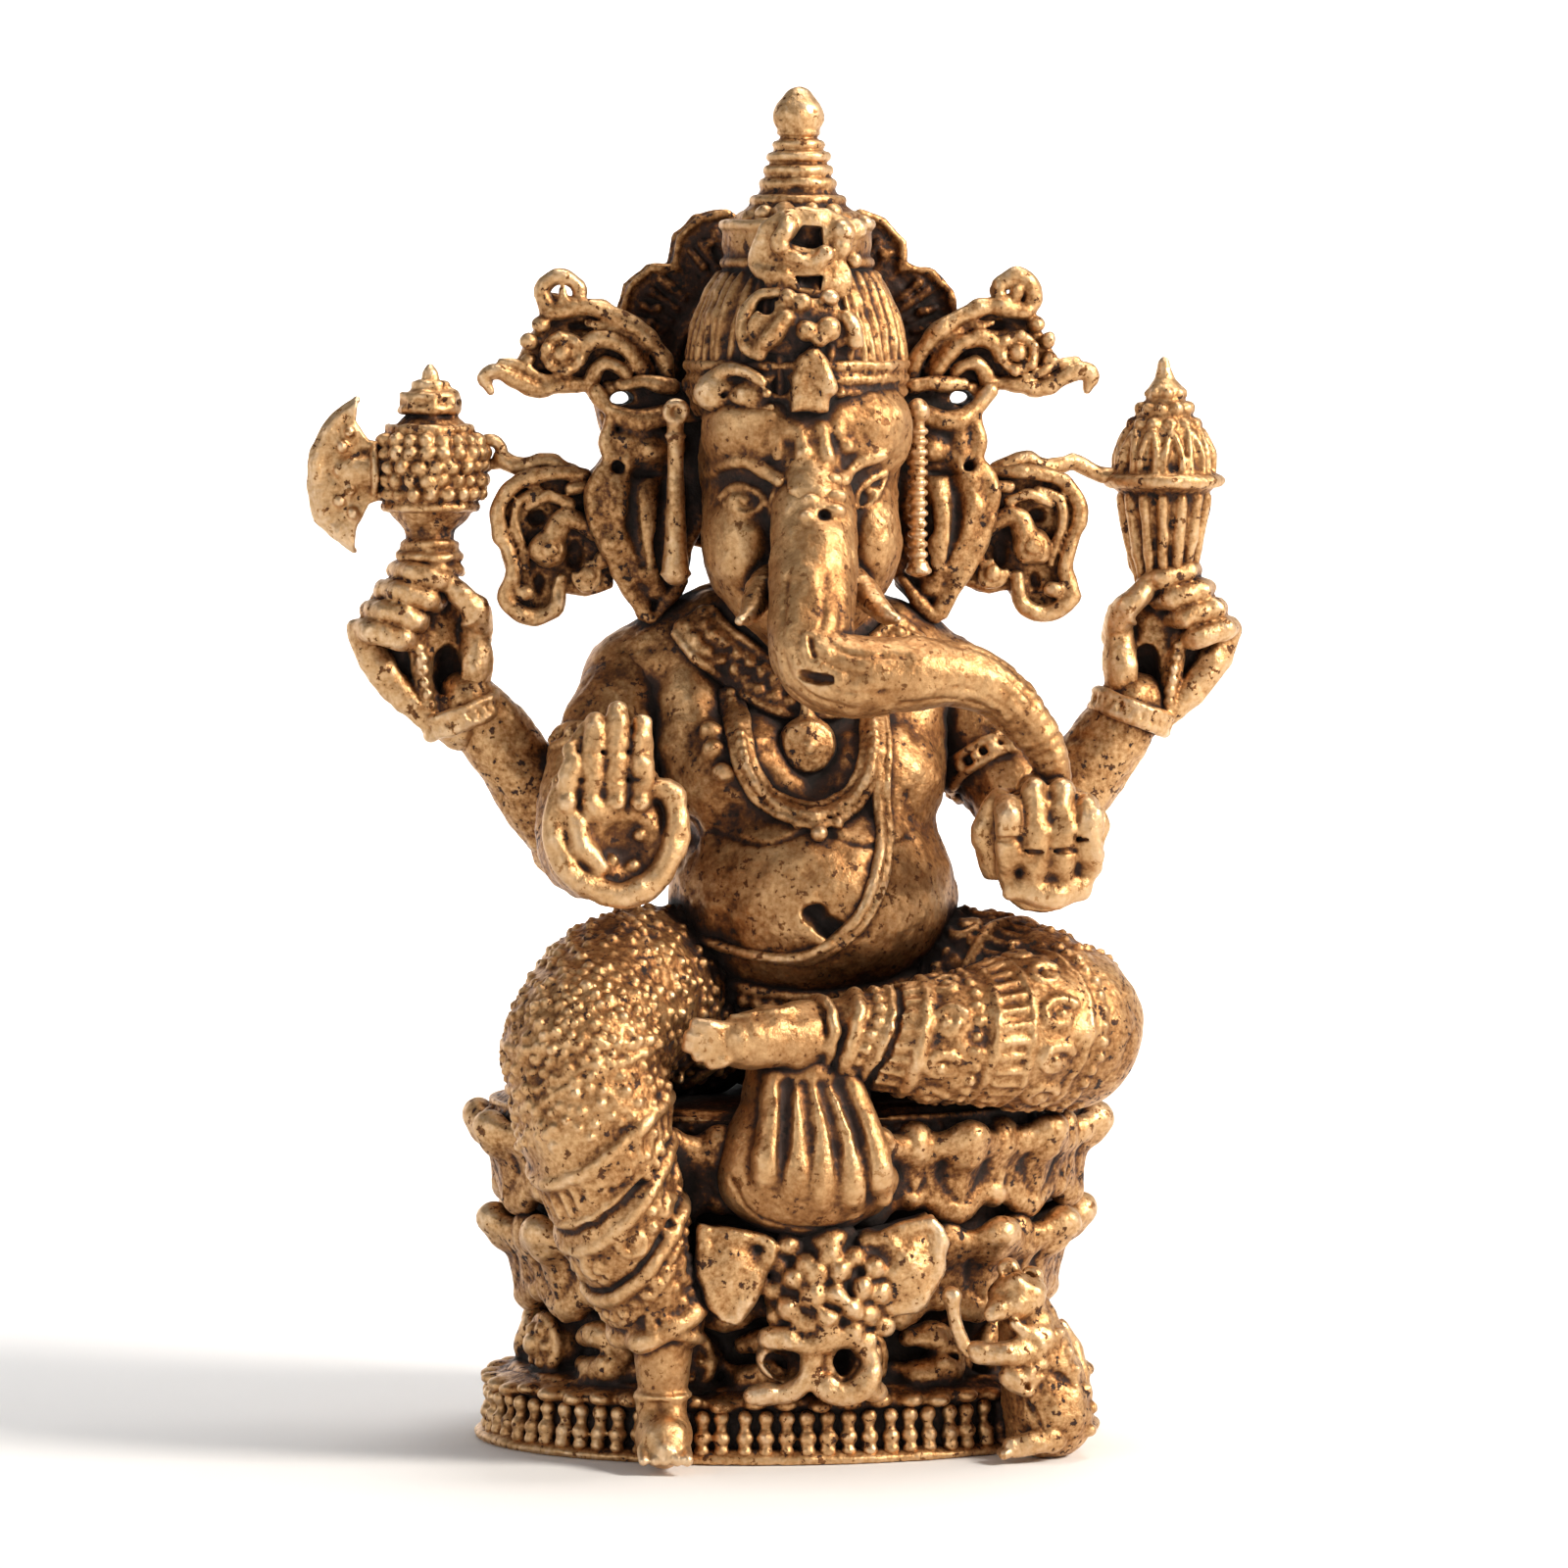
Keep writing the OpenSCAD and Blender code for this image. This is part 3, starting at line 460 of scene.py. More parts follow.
def base_plinth():
    c = Clay((-11.2, -8.4, 0), (11.2, 8.4, 2.6))
    c.turned_on((0, 0, 0), [[10.45, -0.5], [10.55, 0.2], [10.2, 0.4], [9.6, 0.5], [9.6, 1.5], [9.8, 1.7],
                            [10.0, 1.85], [9.9, 2.1], [9.4, 2.3], [9.0, 2.4]], 0, oval=PLAN)
    rng = np.random.default_rng(1)
    for p, n in zip(*oval_points(9.95, 1.95, even_angles(52))):
        side = np.cross(UP, n)
        c.ball(p + UP * rng.uniform(-0.1, 0.1), (0.42, 0.42, 0.24), 0.1, turn=np.stack([n, side, UP], 1))
    c.rough(0.04, 0.8, 1)
    c.keep(0)
    return c


def plinth_beads():
    c = Clay((-11, -8, 0.0), (11, 8, 1.9))
    rng = np.random.default_rng(2)
    for p, n in zip(*oval_points(10.0, 0.0, even_angles(78))):
        q = p + np.cross(UP, n) * rng.uniform(-0.05, 0.05)
        c.ball(q + UP * 1.5, 0.27, 0.05)
        c.tube([q + UP * 1.35 - n * 0.05, q + UP * 0.9], 0.19, 0.06)
        c.ball(q + UP * 0.82 + n * 0.05, 0.3, 0.05)
        c.ball(q + UP * 0.42 + n * 0.1, (0.27, 0.27, 0.22), 0.05)
    c.turned_on((0, 0, 0), [[9.75, 0.2], [9.8, 0.7], [9.75, 1.2], [9.7, 1.7]], 0.1, oval=PLAN)
    c.turned_on((0, 0, 0), [[9.4, -0.5], [9.4, 3.0]], 0, cut=True, oval=PLAN)
    c.rough(0.03, 0.5, 2)
    c.keep(0.02)
    return c


def leaf(c, p, n, h, w, out):
    """A lotus petal at p that faces n: an upright shield with a raised border and a rolled tip."""
    side = np.cross(UP, n)

    def at(u, v, o=0.0):
        return p + side * (u * w * 0.5) + UP * (v * h) + n * (0.25 + (out - 0.25) * v ** 3 + o - 0.3 * u
                                                              * u)

    for v, wide in ((0.06, 0.3), (0.2, 0.55), (0.38, 0.72), (0.55, 0.8), (0.72, 0.8), (0.86, 0.66)):
        c.tube([at(-wide, v), at(0, v, 0.2), at(wide, v)], 0.38, 0.35, step=0.6)
    for s in (-1, 1):
        c.tube([at(0, -0.02, 0.1), at(s * 0.56, 0.16, 0.16), at(s * 0.88, 0.44, 0.2), at(s * 0.94, 0.7,
                                                                                         0.2),
                at(s * 0.76, 0.92, 0.1)], [0.22, 0.27, 0.3, 0.32, 0.3], 0.16, step=0.4)
        c.tube([at(s * 0.12, 0.18, 0.56), at(s * 0.42, 0.32, 0.56), at(s * 0.64, 0.52, 0.54),
                at(s * 0.62, 0.7, 0.5)], [0.05, 0.1, 0.12, 0.06], 0.14, cut=True, step=0.4)
    c.tube([at(-0.82, 0.82, 0.1), at(-0.45, 0.93, 0.15), at(0, 1.0, 0.2), at(0.45, 0.93, 0.15),
            at(0.82, 0.82, 0.1)], [0.32, 0.42, 0.58, 0.42, 0.32], 0.25)
    c.ball(at(0, 0.8, 0.3), (0.6, 0.6, 0.5), 0.3)


def lotus(z0, z1, waist, tip, seed, first):
    """A ring of petals on a waisted cup, with narrower ones showing between them."""
    c = Clay((-tip - 0.9, -tip * PLAN - 1.2, z0 - 1.0), (tip + 0.9, tip * PLAN + 1.2, z1 + 0.6), 0.112)
    h = z1 - z0
    c.turned_on((0, 0, 0), [[waist - 0.9, z0 - 0.9], [waist - 0.75, z0], [waist - 0.6, z0 + h * 0.5],
                            [waist - 0.45, z1 - 0.5], [waist - 0.5, z1 - 0.1]], 0, oval=PLAN)
    out = tip - waist + 0.2
    for p, n in zip(*oval_points(waist - 0.3, z0 + 0.5, even_angles(16, first + 0.5))):
        leaf(c, p, n, h * 0.8, 1.7, out * 0.45)
    for p, n in zip(*oval_points(waist - 0.2, z0, even_angles(16, first))):
        leaf(c, p, n, h, 2.65, out)
    c.rough(0.035, 0.7, seed)
    return c


def lower_lotus():
    return lotus(4.5, 7.35, 8.6, 9.75, 11, 0.0)


def upper_lotus():
    return lotus(7.95, 10.65, 9.4, 10.35, 12, 0.5)


def frieze_drum():
    c = Clay((-10.4, -8.2, 2.0), (10.4, 8.2, 5.2), 0.096)
    c.turned_on((0, 0, 0), [[9.5, 2.1], [9.2, 2.4], [8.0, 2.6], [7.7, 3.2], [7.8, 3.8], [8.0, 4.3],
                            [7.6, 5.0]], 0, oval=PLAN)
    for i, (p, n) in enumerate(zip(*oval_points(7.95, 3.3, even_angles(16, 0.5)))):
        side = np.cross(UP, n)

        def at(u, v, o):
            return p + side * u + UP * v + n * o

        if i % 2 == 0:
            # rosette
            c.ball(at(0, 0, 0.0), (1.15, 1.15, 1.1), 0.1)
            q = np.linspace(0, 2 * math.pi, 13)
            c.tube([at(0.9 * math.cos(a), 0.9 * math.sin(a), 0.65) for a in q], 0.24, 0.1)
            c.ball(at(0, 0, 1.0), 0.42, 0.08)
            for a in q[:-1:2]:
                c.ball(at(0.62 * math.cos(a), 0.62 * math.sin(a), 0.95), 0.2, 0.05)
        else:
            # broad leaf with a tail that sweeps up
            c.tube([at(-1.25, -0.5, 0.1), at(-0.5, -0.62, 0.55), at(0.3, -0.4, 0.7), at(0.75, 0.1, 0.6)],
                   [0.3, 0.5, 0.6, 0.4], 0.2)
            c.tube([at(-0.9, 0.5, 0.3), at(-0.1, 0.6, 0.6), at(0.5, 0.25, 0.65)], [0.35, 0.5, 0.4], 0.2)
            c.tube([at(0.4, -0.7, 0.5), at(1.1, -0.55, 0.35), at(1.5, 0.0, 0.1)], [0.4, 0.34, 0.2], 0.15)
            c.tube([at(-0.6, -0.1, 0.95), at(0.0, 0.1, 1.15), at(0.5, -0.1, 1.05)], 0.12, 0.06, cut=True)
            c.tube([at(-0.9, 0.15, 0.75), at(-0.2, 0.0, 1.1)], 0.1, 0.06, cut=True)
    c.rough(0.05, 0.5, 13)
    return c


def seat_cushion():
    c = Clay((-10.4, -7.6, 10.2), (10.4, 7.6, 12.1))
    c.turned_on((0, 0, 0), [[9.6, 10.2], [9.9, 10.5], [10.0, 10.9], [9.8, 11.3], [9.3, 11.6]], 0, oval=PLAN)
    for p, n in zip(*oval_points(9.85, 10.95, even_angles(110))):
        c.ball(p, 0.2, 0.05)
    for z in (10.6, 11.3):
        p, n = oval_points(9.9, z, np.linspace(0, 360, 80))
        c.tube(p, 0.12, 0.05)
    c.rough(0.05, 1.3, 14)
    return c


def dhoti_pleats():
    c = Clay((-4.5, -10.2, 6.9), (3.9, -5, 13.4))
    c.tube([(-0.3, -6.4, 13.3), (-0.35, -6.7, 11.2), (-0.4, -6.9, 9.8)], [1.9, 2.2, 2.35], 0.2)
    c.ball((-1.4, -7.1, 9.9), (1.9, 1.6, 2.1), 0.4)
    c.ball((-0.3, -7.35, 9.4), (2.9, 1.65, 1.75), 0.4)
    c.keep(high=13.3)
    # folds that fan out from the knot under the crossed leg and end in a smooth round hem
    for x0, x1, x2, low in ((-1.5, -1.75, -2.1, 8.9), (-0.95, -0.95, -1.15, 8.35), (-0.35, -0.1, -0.1, 8.1),
                            (0.25, 0.75, 0.95, 8.2), (0.8, 1.5, 1.95, 8.65)):
        c.tube([(x0, -7.9, 12.8), (x1, -8.5, 10.9), (0.5 * (x1 + x2), -8.7, low + 1.1),
                (x2, -8.25, low + 0.25)], [0.45, 0.5, 0.55, 0.36], 0.14)
    for x0, x1, x2, low in ((-1.22, -1.35, -1.62, 9.0), (-0.65, -0.52, -0.62, 8.7), (-0.05, 0.32, 0.43,
                                                                                     8.7),
                            (0.53, 1.12, 1.45, 8.9)):
        c.draw([(x0, 12.6), (x1, 10.9), (x2, low)], [0.3, 0.24, 0.1], 0.12, cut=True, lift=0.12)
    c.draw([(-3.0, 9.5), (-2.4, 8.5), (-1.3, 8.0), (0.2, 7.85), (1.3, 8.2)], 0.08, 0.12, cut=True,
           lift=0.03)
    c.rough(0.03, 0.6, 15)
    return c


def flower_cluster():
    c = Clay((-4.8, -9.9, 1.9), (4.9, -5.4, 8.9))
    rng = np.random.default_rng(5)
    # two leaves that spread like wings
    for wing in ([(-3.95, 7.95), (-1.6, 7.5), (-2.1, 6.2), (-2.9, 4.75), (-3.5, 5.2), (-3.95, 6.6)],
                 [(1.2, 7.5), (3.7, 8.1), (3.95, 6.6), (3.4, 5.3), (2.4, 5.0), (1.5, 6.0)]):
        c.slab(wing, -7.9, -6.0, 0.2, soft=0.35)
        mid = V(wing).mean(0)
        c.ball((mid[0], -7.7, mid[1]), (1.1, 0.75, 1.3), 0.35)
        edge = [mid + (V(q) - mid) * 0.9 for q in wing]
        c.tube([(x, -7.95, z) for x, z in edge + edge[:1]], 0.24, 0.3, step=0.4)
        c.tube([(x, -8.0, z) for x, z in (mid + (V(wing[0 if mid[0] < 0 else 1]) - mid) * 0.5,
                                          mid + (V(wing[3]) - mid) * 0.4)], 0.1, 0.15, cut=True)
    # the cluster
    c.ball((0.35, -7.1, 5.75), (2.2, 1.45, 2.0), 0.3)
    c.ball((0.4, -8.6, 5.7), (0.45, 0.4, 0.45), 0.12)
    for count, reach, y, turn in ((6, 0.8, -8.5, 0.2), (11, 1.42, -8.2, 0.0), (15, 2.0, -7.65, 0.4)):
        for j in range(count):
            a = 2 * math.pi * (j + turn) / count
            q = (0.4 + reach * math.cos(a) + rng.uniform(-0.1, 0.1), y + rng.uniform(-0.1, 0.1),
                 5.75 + reach * 0.95 * math.sin(a) + rng.uniform(-0.1, 0.1))
            c.ball(q, rng.uniform(0.38, 0.5), 0.15)
    c.ball((0.25, -8.1, 7.45), (0.6, 0.5, 0.5), 0.12)
    # stems that run down past two hollows and curl at the foot
    c.ball((0.0, -7.3, 3.6), (2.1, 0.8, 1.1), 0.2)
    c.ball((-1.15, -7.9, 3.35), (0.7, 1.2, 0.62), 0.08, cut=True)
    c.ball((0.75, -8.0, 3.5), (0.36, 1.2, 0.55), 0.08, cut=True)
    c.tube([(-1.7, -7.9, 4.3), (-1.0, -8.1, 4.3), (-0.3, -8.2, 4.1), (0.6, -8.2, 4.3), (1.5, -8.0, 4.1)],
           [0.36, 0.4, 0.4, 0.4, 0.36], 0.12)
    c.tube([(-0.2, -8.1, 4.2), (-0.4, -8.0, 3.1), (-1.0, -7.8, 2.45), (-2.0, -7.6, 2.3)], [0.34, 0.32, 0.36,
                                                                                           0.26], 0.1)
    c.tube([(-0.3, -8.0, 3.0), (0.2, -8.15, 2.5), (0.8, -8.15, 2.35), (1.4, -8.1, 2.7), (1.6, -8.0, 3.4),
            (1.4, -8.0, 4.0)], [0.3, 0.42, 0.36, 0.44, 0.34, 0.4], 0.14)
    c.ball((-1.9, -7.7, 2.4), (0.6, 0.4, 0.35), 0.15)
    c.ball((1.7, -7.8, 2.4), (0.5, 0.45, 0.4), 0.15)
    c.rough(0.06, 0.5, 16)
    return c


def mouse():
    c = Clay((4.6, -9.3, 0), (10.0, -3.6, 7.4))
    # haunch, back and chest
    c.tube([(7.75, -6.5, 1.3), (7.55, -6.8, 2.6), (7.15, -7.0, 3.8), (6.85, -7.1, 4.8)], [1.5, 1.35, 1.15,
                                                                                          0.86], 0.2)
    c.ball((7.75, -7.2, 1.7), (1.25, 1.1, 1.15), 0.12)
    # head with a short snout, round ears and an eye
    c.ball((6.55, -7.4, 5.4), (0.95, 0.88, 0.85), 0.12)
    c.tube([(6.3, -7.7, 5.3), (5.85, -8.0, 5.1), (5.55, -8.15, 4.95)], [0.52, 0.38, 0.24], 0.1)
    for x, y, z in ((6.3, -7.2, 6.2), (7.05, -7.1, 6.0)):
        c.ball((x, y, z), (0.4, 0.3, 0.42), 0.06)
        c.ball((x - 0.03, y - 0.3, z), (0.2, 0.2, 0.24), 0.04, cut=True)
    c.ball((6.15, -8.1, 5.55), 0.15, 0.03)
    # the raised forearm, the lower paw and the foot
    c.tube([(7.2, -7.7, 4.1), (6.6, -8.1, 3.7), (5.9, -8.25, 3.65), (5.1, -8.1, 3.7)], [0.62, 0.48, 0.42,
                                                                                        0.36], 0.08)
    c.tube([(7.1, -7.9, 3.1), (6.6, -8.2, 2.7), (6.2, -8.2, 2.9)], [0.52, 0.42, 0.38], 0.08)
    c.tube([(7.6, -7.8, 0.75), (6.9, -8.0, 0.6), (6.3, -8.1, 0.55)], [0.5, 0.42, 0.34], 0.08)
    for i in range(3):
        c.tube([(6.3, -8.0 - 0.2 * (i - 1), 0.45), (5.95, -8.15 - 0.22 * (i - 1), 0.35)], 0.16, 0.04)
    c.draw([(6.7, 2.6), (6.95, 1.8), (7.3, 1.1)], [0.1, 0.14, 0.1], 0.08, cut=True)
    c.draw([(7.0, 3.0), (7.8, 2.95), (8.5, 2.4)], 0.1, 0.08, cut=True)
    # tail laid against the back
    c.tube([(8.7, -5.8, 0.7), (9.0, -5.3, 1.9), (8.9, -5.0, 3.2), (8.4, -5.2, 4.1)], [0.5, 0.42, 0.32, 0.2],
           0.1)
    # collar and girth beads
    c.beads([(6.2, -8.1, 4.65), (6.8, -8.1, 4.35), (7.6, -7.6, 4.6)], 0.34, 0.17)
    for x, z in ((7.9, 4.2), (8.2, 3.6), (8.5, 3.0), (8.9, 2.3), (9.1, 1.6), (9.0, 0.9)):
        c.dots([(x, z)], 0.22, 0.06)
    c.rough(0.05, 0.45, 17)
    c.keep(0.02)
    return c


def mouse_staff():
    c = Clay((3.7, -8.9, 3), (5.9, -7.2, 6.2))
    c.tube([(4.3, -8.1, 5.5), (4.4, -8.1, 4.7), (4.75, -8.05, 3.85), (5.2, -8.1, 3.65)], [0.27, 0.22, 0.22,
                                                                                          0.28], 0.05)
    c.ball((4.3, -8.1, 5.55), 0.33, 0.05)
    c.rough(0.02, 0.4, 18)
    return c


def torso():
    c = Clay((-7.6, -7.2, 11.0), (8.2, 6.2, 29.2), 0.1)
    c.ball((0.7, -1.0, 18.2), (4.8, 5.1, 4.2), 0.5)
    c.ball((0.5, 0.9, 15.0), (5.2, 4.6, 3.6), 0.8)
    c.ball((0.4, 0.6, 22.9), (4.4, 3.5, 3.9), 0.8)
    c.ball((-1.9, -1.9, 22.2), (2.4, 2.2, 2.2), 0.7)
    c.ball((2.6, -1.9, 22.1), (2.4, 2.2, 2.2), 0.7)
    c.ball((-3.4, -1.0, 23.6), (1.3, 1.6, 2.4), 0.6)
    c.ball((3.9, -1.0, 23.4), (1.3, 1.6, 2.4), 0.6)
    c.tube([(-5.0, 0.9, 25.0), (-2.6, 0.5, 26.3), (0.3, 0.4, 26.6), (3.0, 0.5, 26.1), (5.4, 0.9, 24.7)],
           [1.95, 2.0, 2.2, 2.0, 1.95], 0.8)
    c.tube([(0.3, 0.6, 26.0), (0.2, -0.2, 29.0)], [2.6, 2.2], 0.6)
    c.draw([(-3.6, 20.9), (-2.7, 20.4), (-1.3, 20.2), (0.2, 20.7), (1.6, 20.2), (3.0, 20.2), (4.0, 20.8)],
           [0.06, 0.12, 0.14, 0.1, 0.14, 0.12, 0.06], 0.4, cut=True, lift=0.08)
    # lumps on the breast beside the necklace, the navel and a few casting flaws
    c.dots([(-2.92, 23.75), (-2.95, 23.2)], (0.42, 0.35, 0.4), 0.15)
    c.dots([(-2.66, 22.5)], (0.42, 0.3, 0.34), 0.15)
    c.dots([(0.1, 17.9), (0.45, 17.55), (0.7, 17.4)], (0.42, 0.5, 0.36), 0.15, cut=True)
    c.tube([(0.3, 5.0, 26.0), (0.3, 5.0, 20.0), (0.4, 5.6, 15.0)], 0.35, 0.5, cut=True)
    c.rough(0.06, 1.1, 20)
    c.rough(0.03, 0.4, 21)
    return c


def collar_necklace():
    t = made["torso"]
    c = Clay((-5.1, -5.6, 22.0), (5.4, 2.6, 28.6))
    path = [(-3.3, 27.3), (-2.9, 26.75), (-1.9, 25.95), (-0.9, 25.25), (0.3, 24.95), (1.6, 25.2),
            (2.6, 25.8), (3.4, 26.4), (3.9, 26.9)]
    for off in (-0.4, 0.0, 0.4):
        c.draw(beside(path, off), 0.34, 0.2, host=t, lift=0.12)
    for off in (-0.72, 0.72):
        c.draw(beside(path, off), 0.2, 0.06, host=t, lift=0.22)
    for off, first in ((-0.25, 0), (0.25, 1)):
        c.dots(beside(path, off)[first::2], 0.2, 0.08, host=t, lift=0.42)
    c.rough(0.03, 0.5, 22)
    return c


def long_necklace():
    t = made["torso"]
    c = Clay((-3.8, -7.2, 19.6), (4.2, -1.6, 26.2))
    path = [(-2.15, 25.0), (-2.1, 24.0), (-2.0, 22.9), (-1.6, 22.0), (-0.9, 21.4), (0.2, 21.1), (1.3, 21.4),
            (2.0, 22.2), (2.3, 23.2), (2.5, 24.9)]
    for off, r in ((-0.3, 0.15), (0.0, 0.27), (0.3, 0.15)):
        c.draw(beside(path, off), r, host=t, lift=0.16)
    c.dots(beside(path, 0), 0.19, host=t, lift=0.38)
    p = t.front(0.2, 23.3, 0.35)
    c.ball(p, (0.98, 0.6, 0.98), 0.1)
    c.ring(p - BACK * 0.3, 0.74, 0.13, BACK, 0.08)
    c.ball(p - BACK * 0.42, 0.32, 0.08)
    c.tube([p + UP * 0.8, p + UP * 2.2 + BACK * 0.3], 0.22)
    c.dots([(0.3, 20.55)], 0.3, host=t, lift=0.2)
    c.dots([(-0.35, 20.85), (0.95, 20.85)], 0.22, host=t, lift=0.15)
    c.rough(0.02, 0.4, 23)
    return c


def sacred_thread():
    t = made["torso"]
    c = Clay((-5, -7.2, 14.9), (5, -1.6, 25.9))
    path = [(2.6, 25.0), (2.5, 23.6), (2.4, 22.0), (2.42, 20.5), (2.0, 18.9), (1.1, 17.4), (-0.3, 16.5),
            (-1.6, 16.5), (-2.9, 16.8), (-4.0, 17.1)]
    c.draw(path, 0.2, host=t, lift=0.1)
    c.draw([(x + 0.34, z - 0.1) for x, z in path[:-1]], 0.14, host=t, lift=0.08)
    c.rough(0.02, 0.5, 24)
    return c


def waist_belt():
    t = made["torso"]
    c = Clay((-5.6, -7, 12.9), (6.4, -0.6, 16.9))
    for dz, r in ((0.45, 0.26), (-0.35, 0.3)):
        c.draw([(-4.7, 15.9 + dz), (-2.8, 15.1 + dz), (-0.6, 14.7 + dz), (1.6, 14.75 + dz),
                (3.6, 15.2 + dz), (5.4, 16.2 + dz)], r, host=t, lift=0.1)
    path = [(-4.7, 15.95), (-2.8, 15.15), (-0.6, 14.75), (1.6, 14.8), (3.6, 15.25), (5.4, 16.25)]
    c.dots(smooth_path([(a, 0, b) for a, b in path], 1, 0.5)[0][:, [0, 2]], 0.3, host=t, lift=0.3)
    c.ball(t.front(0.2, 14.6, 0.3), (0.9, 0.5, 0.7), 0.1)
    c.rough(0.02, 0.5, 25)
    return c


def head():
    c = Clay((-4.2, -7.8, 25.6), (4.6, 2.6, 36.4), 0.08)
    c.ball((0.2, -1.4, 32.8), (3.35, 3.6, 3.9), 0.4)
    c.ball((-1.2, -3.1, 33.7), (2.1, 1.9, 1.8), 0.5)
    c.ball((1.6, -3.1, 33.8), (2.1, 1.95, 1.8), 0.5)
    c.ball((0.2, -3.35, 33.6), (1.7, 1.75, 1.6), 0.5)
    for s in (-1, 1):
        c.ball((0.1 + s * 2.05, -2.6, 30.1), (1.25, 2.0, 2.2), 0.6)
        c.ball((0.1 + s * 1.3, -3.2, 28.3), (1.1, 1.2, 1.2), 0.5)
    c.tube([(0.1, -1.6, 31.0), (0.1, -2.2, 28.6), (0.1, -2.4, 27.6)], [2.9, 2.2, 1.5], 0.6)
    c.tube([(0.15, -4.3, 33.0), (0.1, -4.9, 31.4)], [0.9, 1.4], 0.5)
    # sunken sockets, and the deep hollows that run down beside the trunk's root
    c.ball((-1.85, -6.0, 31.45), (1.15, 1.1, 0.8), 0.18, cut=True)
    c.tube([(-1.2, -5.5, 32.0), (-1.2, -5.6, 31.0), (-1.15, -5.6, 29.9)], [0.42, 0.55, 0.4], 0.15, cut=True)
    c.ball((2.0, -5.7, 31.6), (0.95, 0.85, 0.8), 0.25, cut=True)
    c.tube([(1.25, -5.4, 31.6), (1.4, -5.5, 30.7), (1.45, -5.5, 30.0)], [0.32, 0.42, 0.32], 0.15, cut=True)
    # brows
    c.draw([(-3.0, 32.3), (-2.5, 32.68), (-2.0, 32.72), (-1.4, 32.45), (-0.95, 32.1)], [0.14, 0.2, 0.24,
                                                                                        0.27, 0.24], 0.2,
           lift=0.02)
    c.draw([(1.1, 32.1), (1.45, 32.5), (2.0, 32.8), (2.6, 32.95)], [0.22, 0.24, 0.22, 0.14], 0.2, lift=0.02)
    # half-closed eyes under heavy lids
    left_eye = ([(-2.75, 31.5), (-2.35, 31.82), (-1.85, 31.82), (-1.35, 31.5)],
                [(-2.65, 31.35), (-2.1, 31.02), (-1.6, 31.1), (-1.35, 31.4)], -2.0, 31.42)
    right_eye = ([(1.45, 31.3), (1.7, 31.75), (2.15, 32.1), (2.65, 32.3)],
                 [(1.5, 31.25), (2.0, 31.25), (2.45, 31.6), (2.7, 32.15)], 2.05, 31.66)
    for lid_top, lid_low, x, z in (left_eye, right_eye):
        e = c.front(x, z, -0.2)
        c.ball(e, (0.56, 0.38, 0.34), 0.08)
        c.draw(lid_top, 0.15, 0.06, lift=0.04)
        c.draw(lid_low, 0.1, 0.06, lift=0.02)
        c.draw([(x - 0.2, z + 0.02), (x - 0.02, z - 0.16), (x + 0.18, z + 0.02)], 0.06, 0.03, cut=True,
               lift=0.0)
    # marks standing up on the forehead
    for x, z0, z1, r in ((-1.05, 33.5, 32.9, 0.16), (-0.3, 33.8, 33.0, 0.2), (0.5, 33.9, 32.9, 0.2),
                         (0.98, 34.0, 33.4, 0.13)):
        c.draw([(x - 0.08, z0), (x, 0.5 * (z0 + z1)), (x + 0.06, z1)], [r * 0.7, r * 1.1, r * 1.25], 0.25,
               lift=-0.03)
    c.dots([(1.28, 33.25)], 0.24, 0.1, lift=0.02)
    c.rough(0.04, 0.8, 30)
    c.rough(0.02, 0.3, 31)
    return c


# middle line of the trunk, mm, and its radius at each point
TRUNK = [(0.15, -4.0, 32.4), (0.15, -5.0, 31.0), (0.05, -5.9, 29.4), (-0.2, -6.9, 27.7),
         (-0.15, -7.7, 26.4), (0.9, -8.15, 25.85), (2.6, -8.3, 25.9), (4.4, -8.1, 25.9), (5.8, -7.9, 25.3),
         (6.9, -7.7, 24.2), (7.5, -7.6, 23.2), (7.7, -7.6, 22.5)]
TRUNK_RADII = [1.2, 1.4, 1.45, 1.42, 1.4, 1.35, 1.22, 1.08, 0.95, 0.8, 0.68, 0.6]


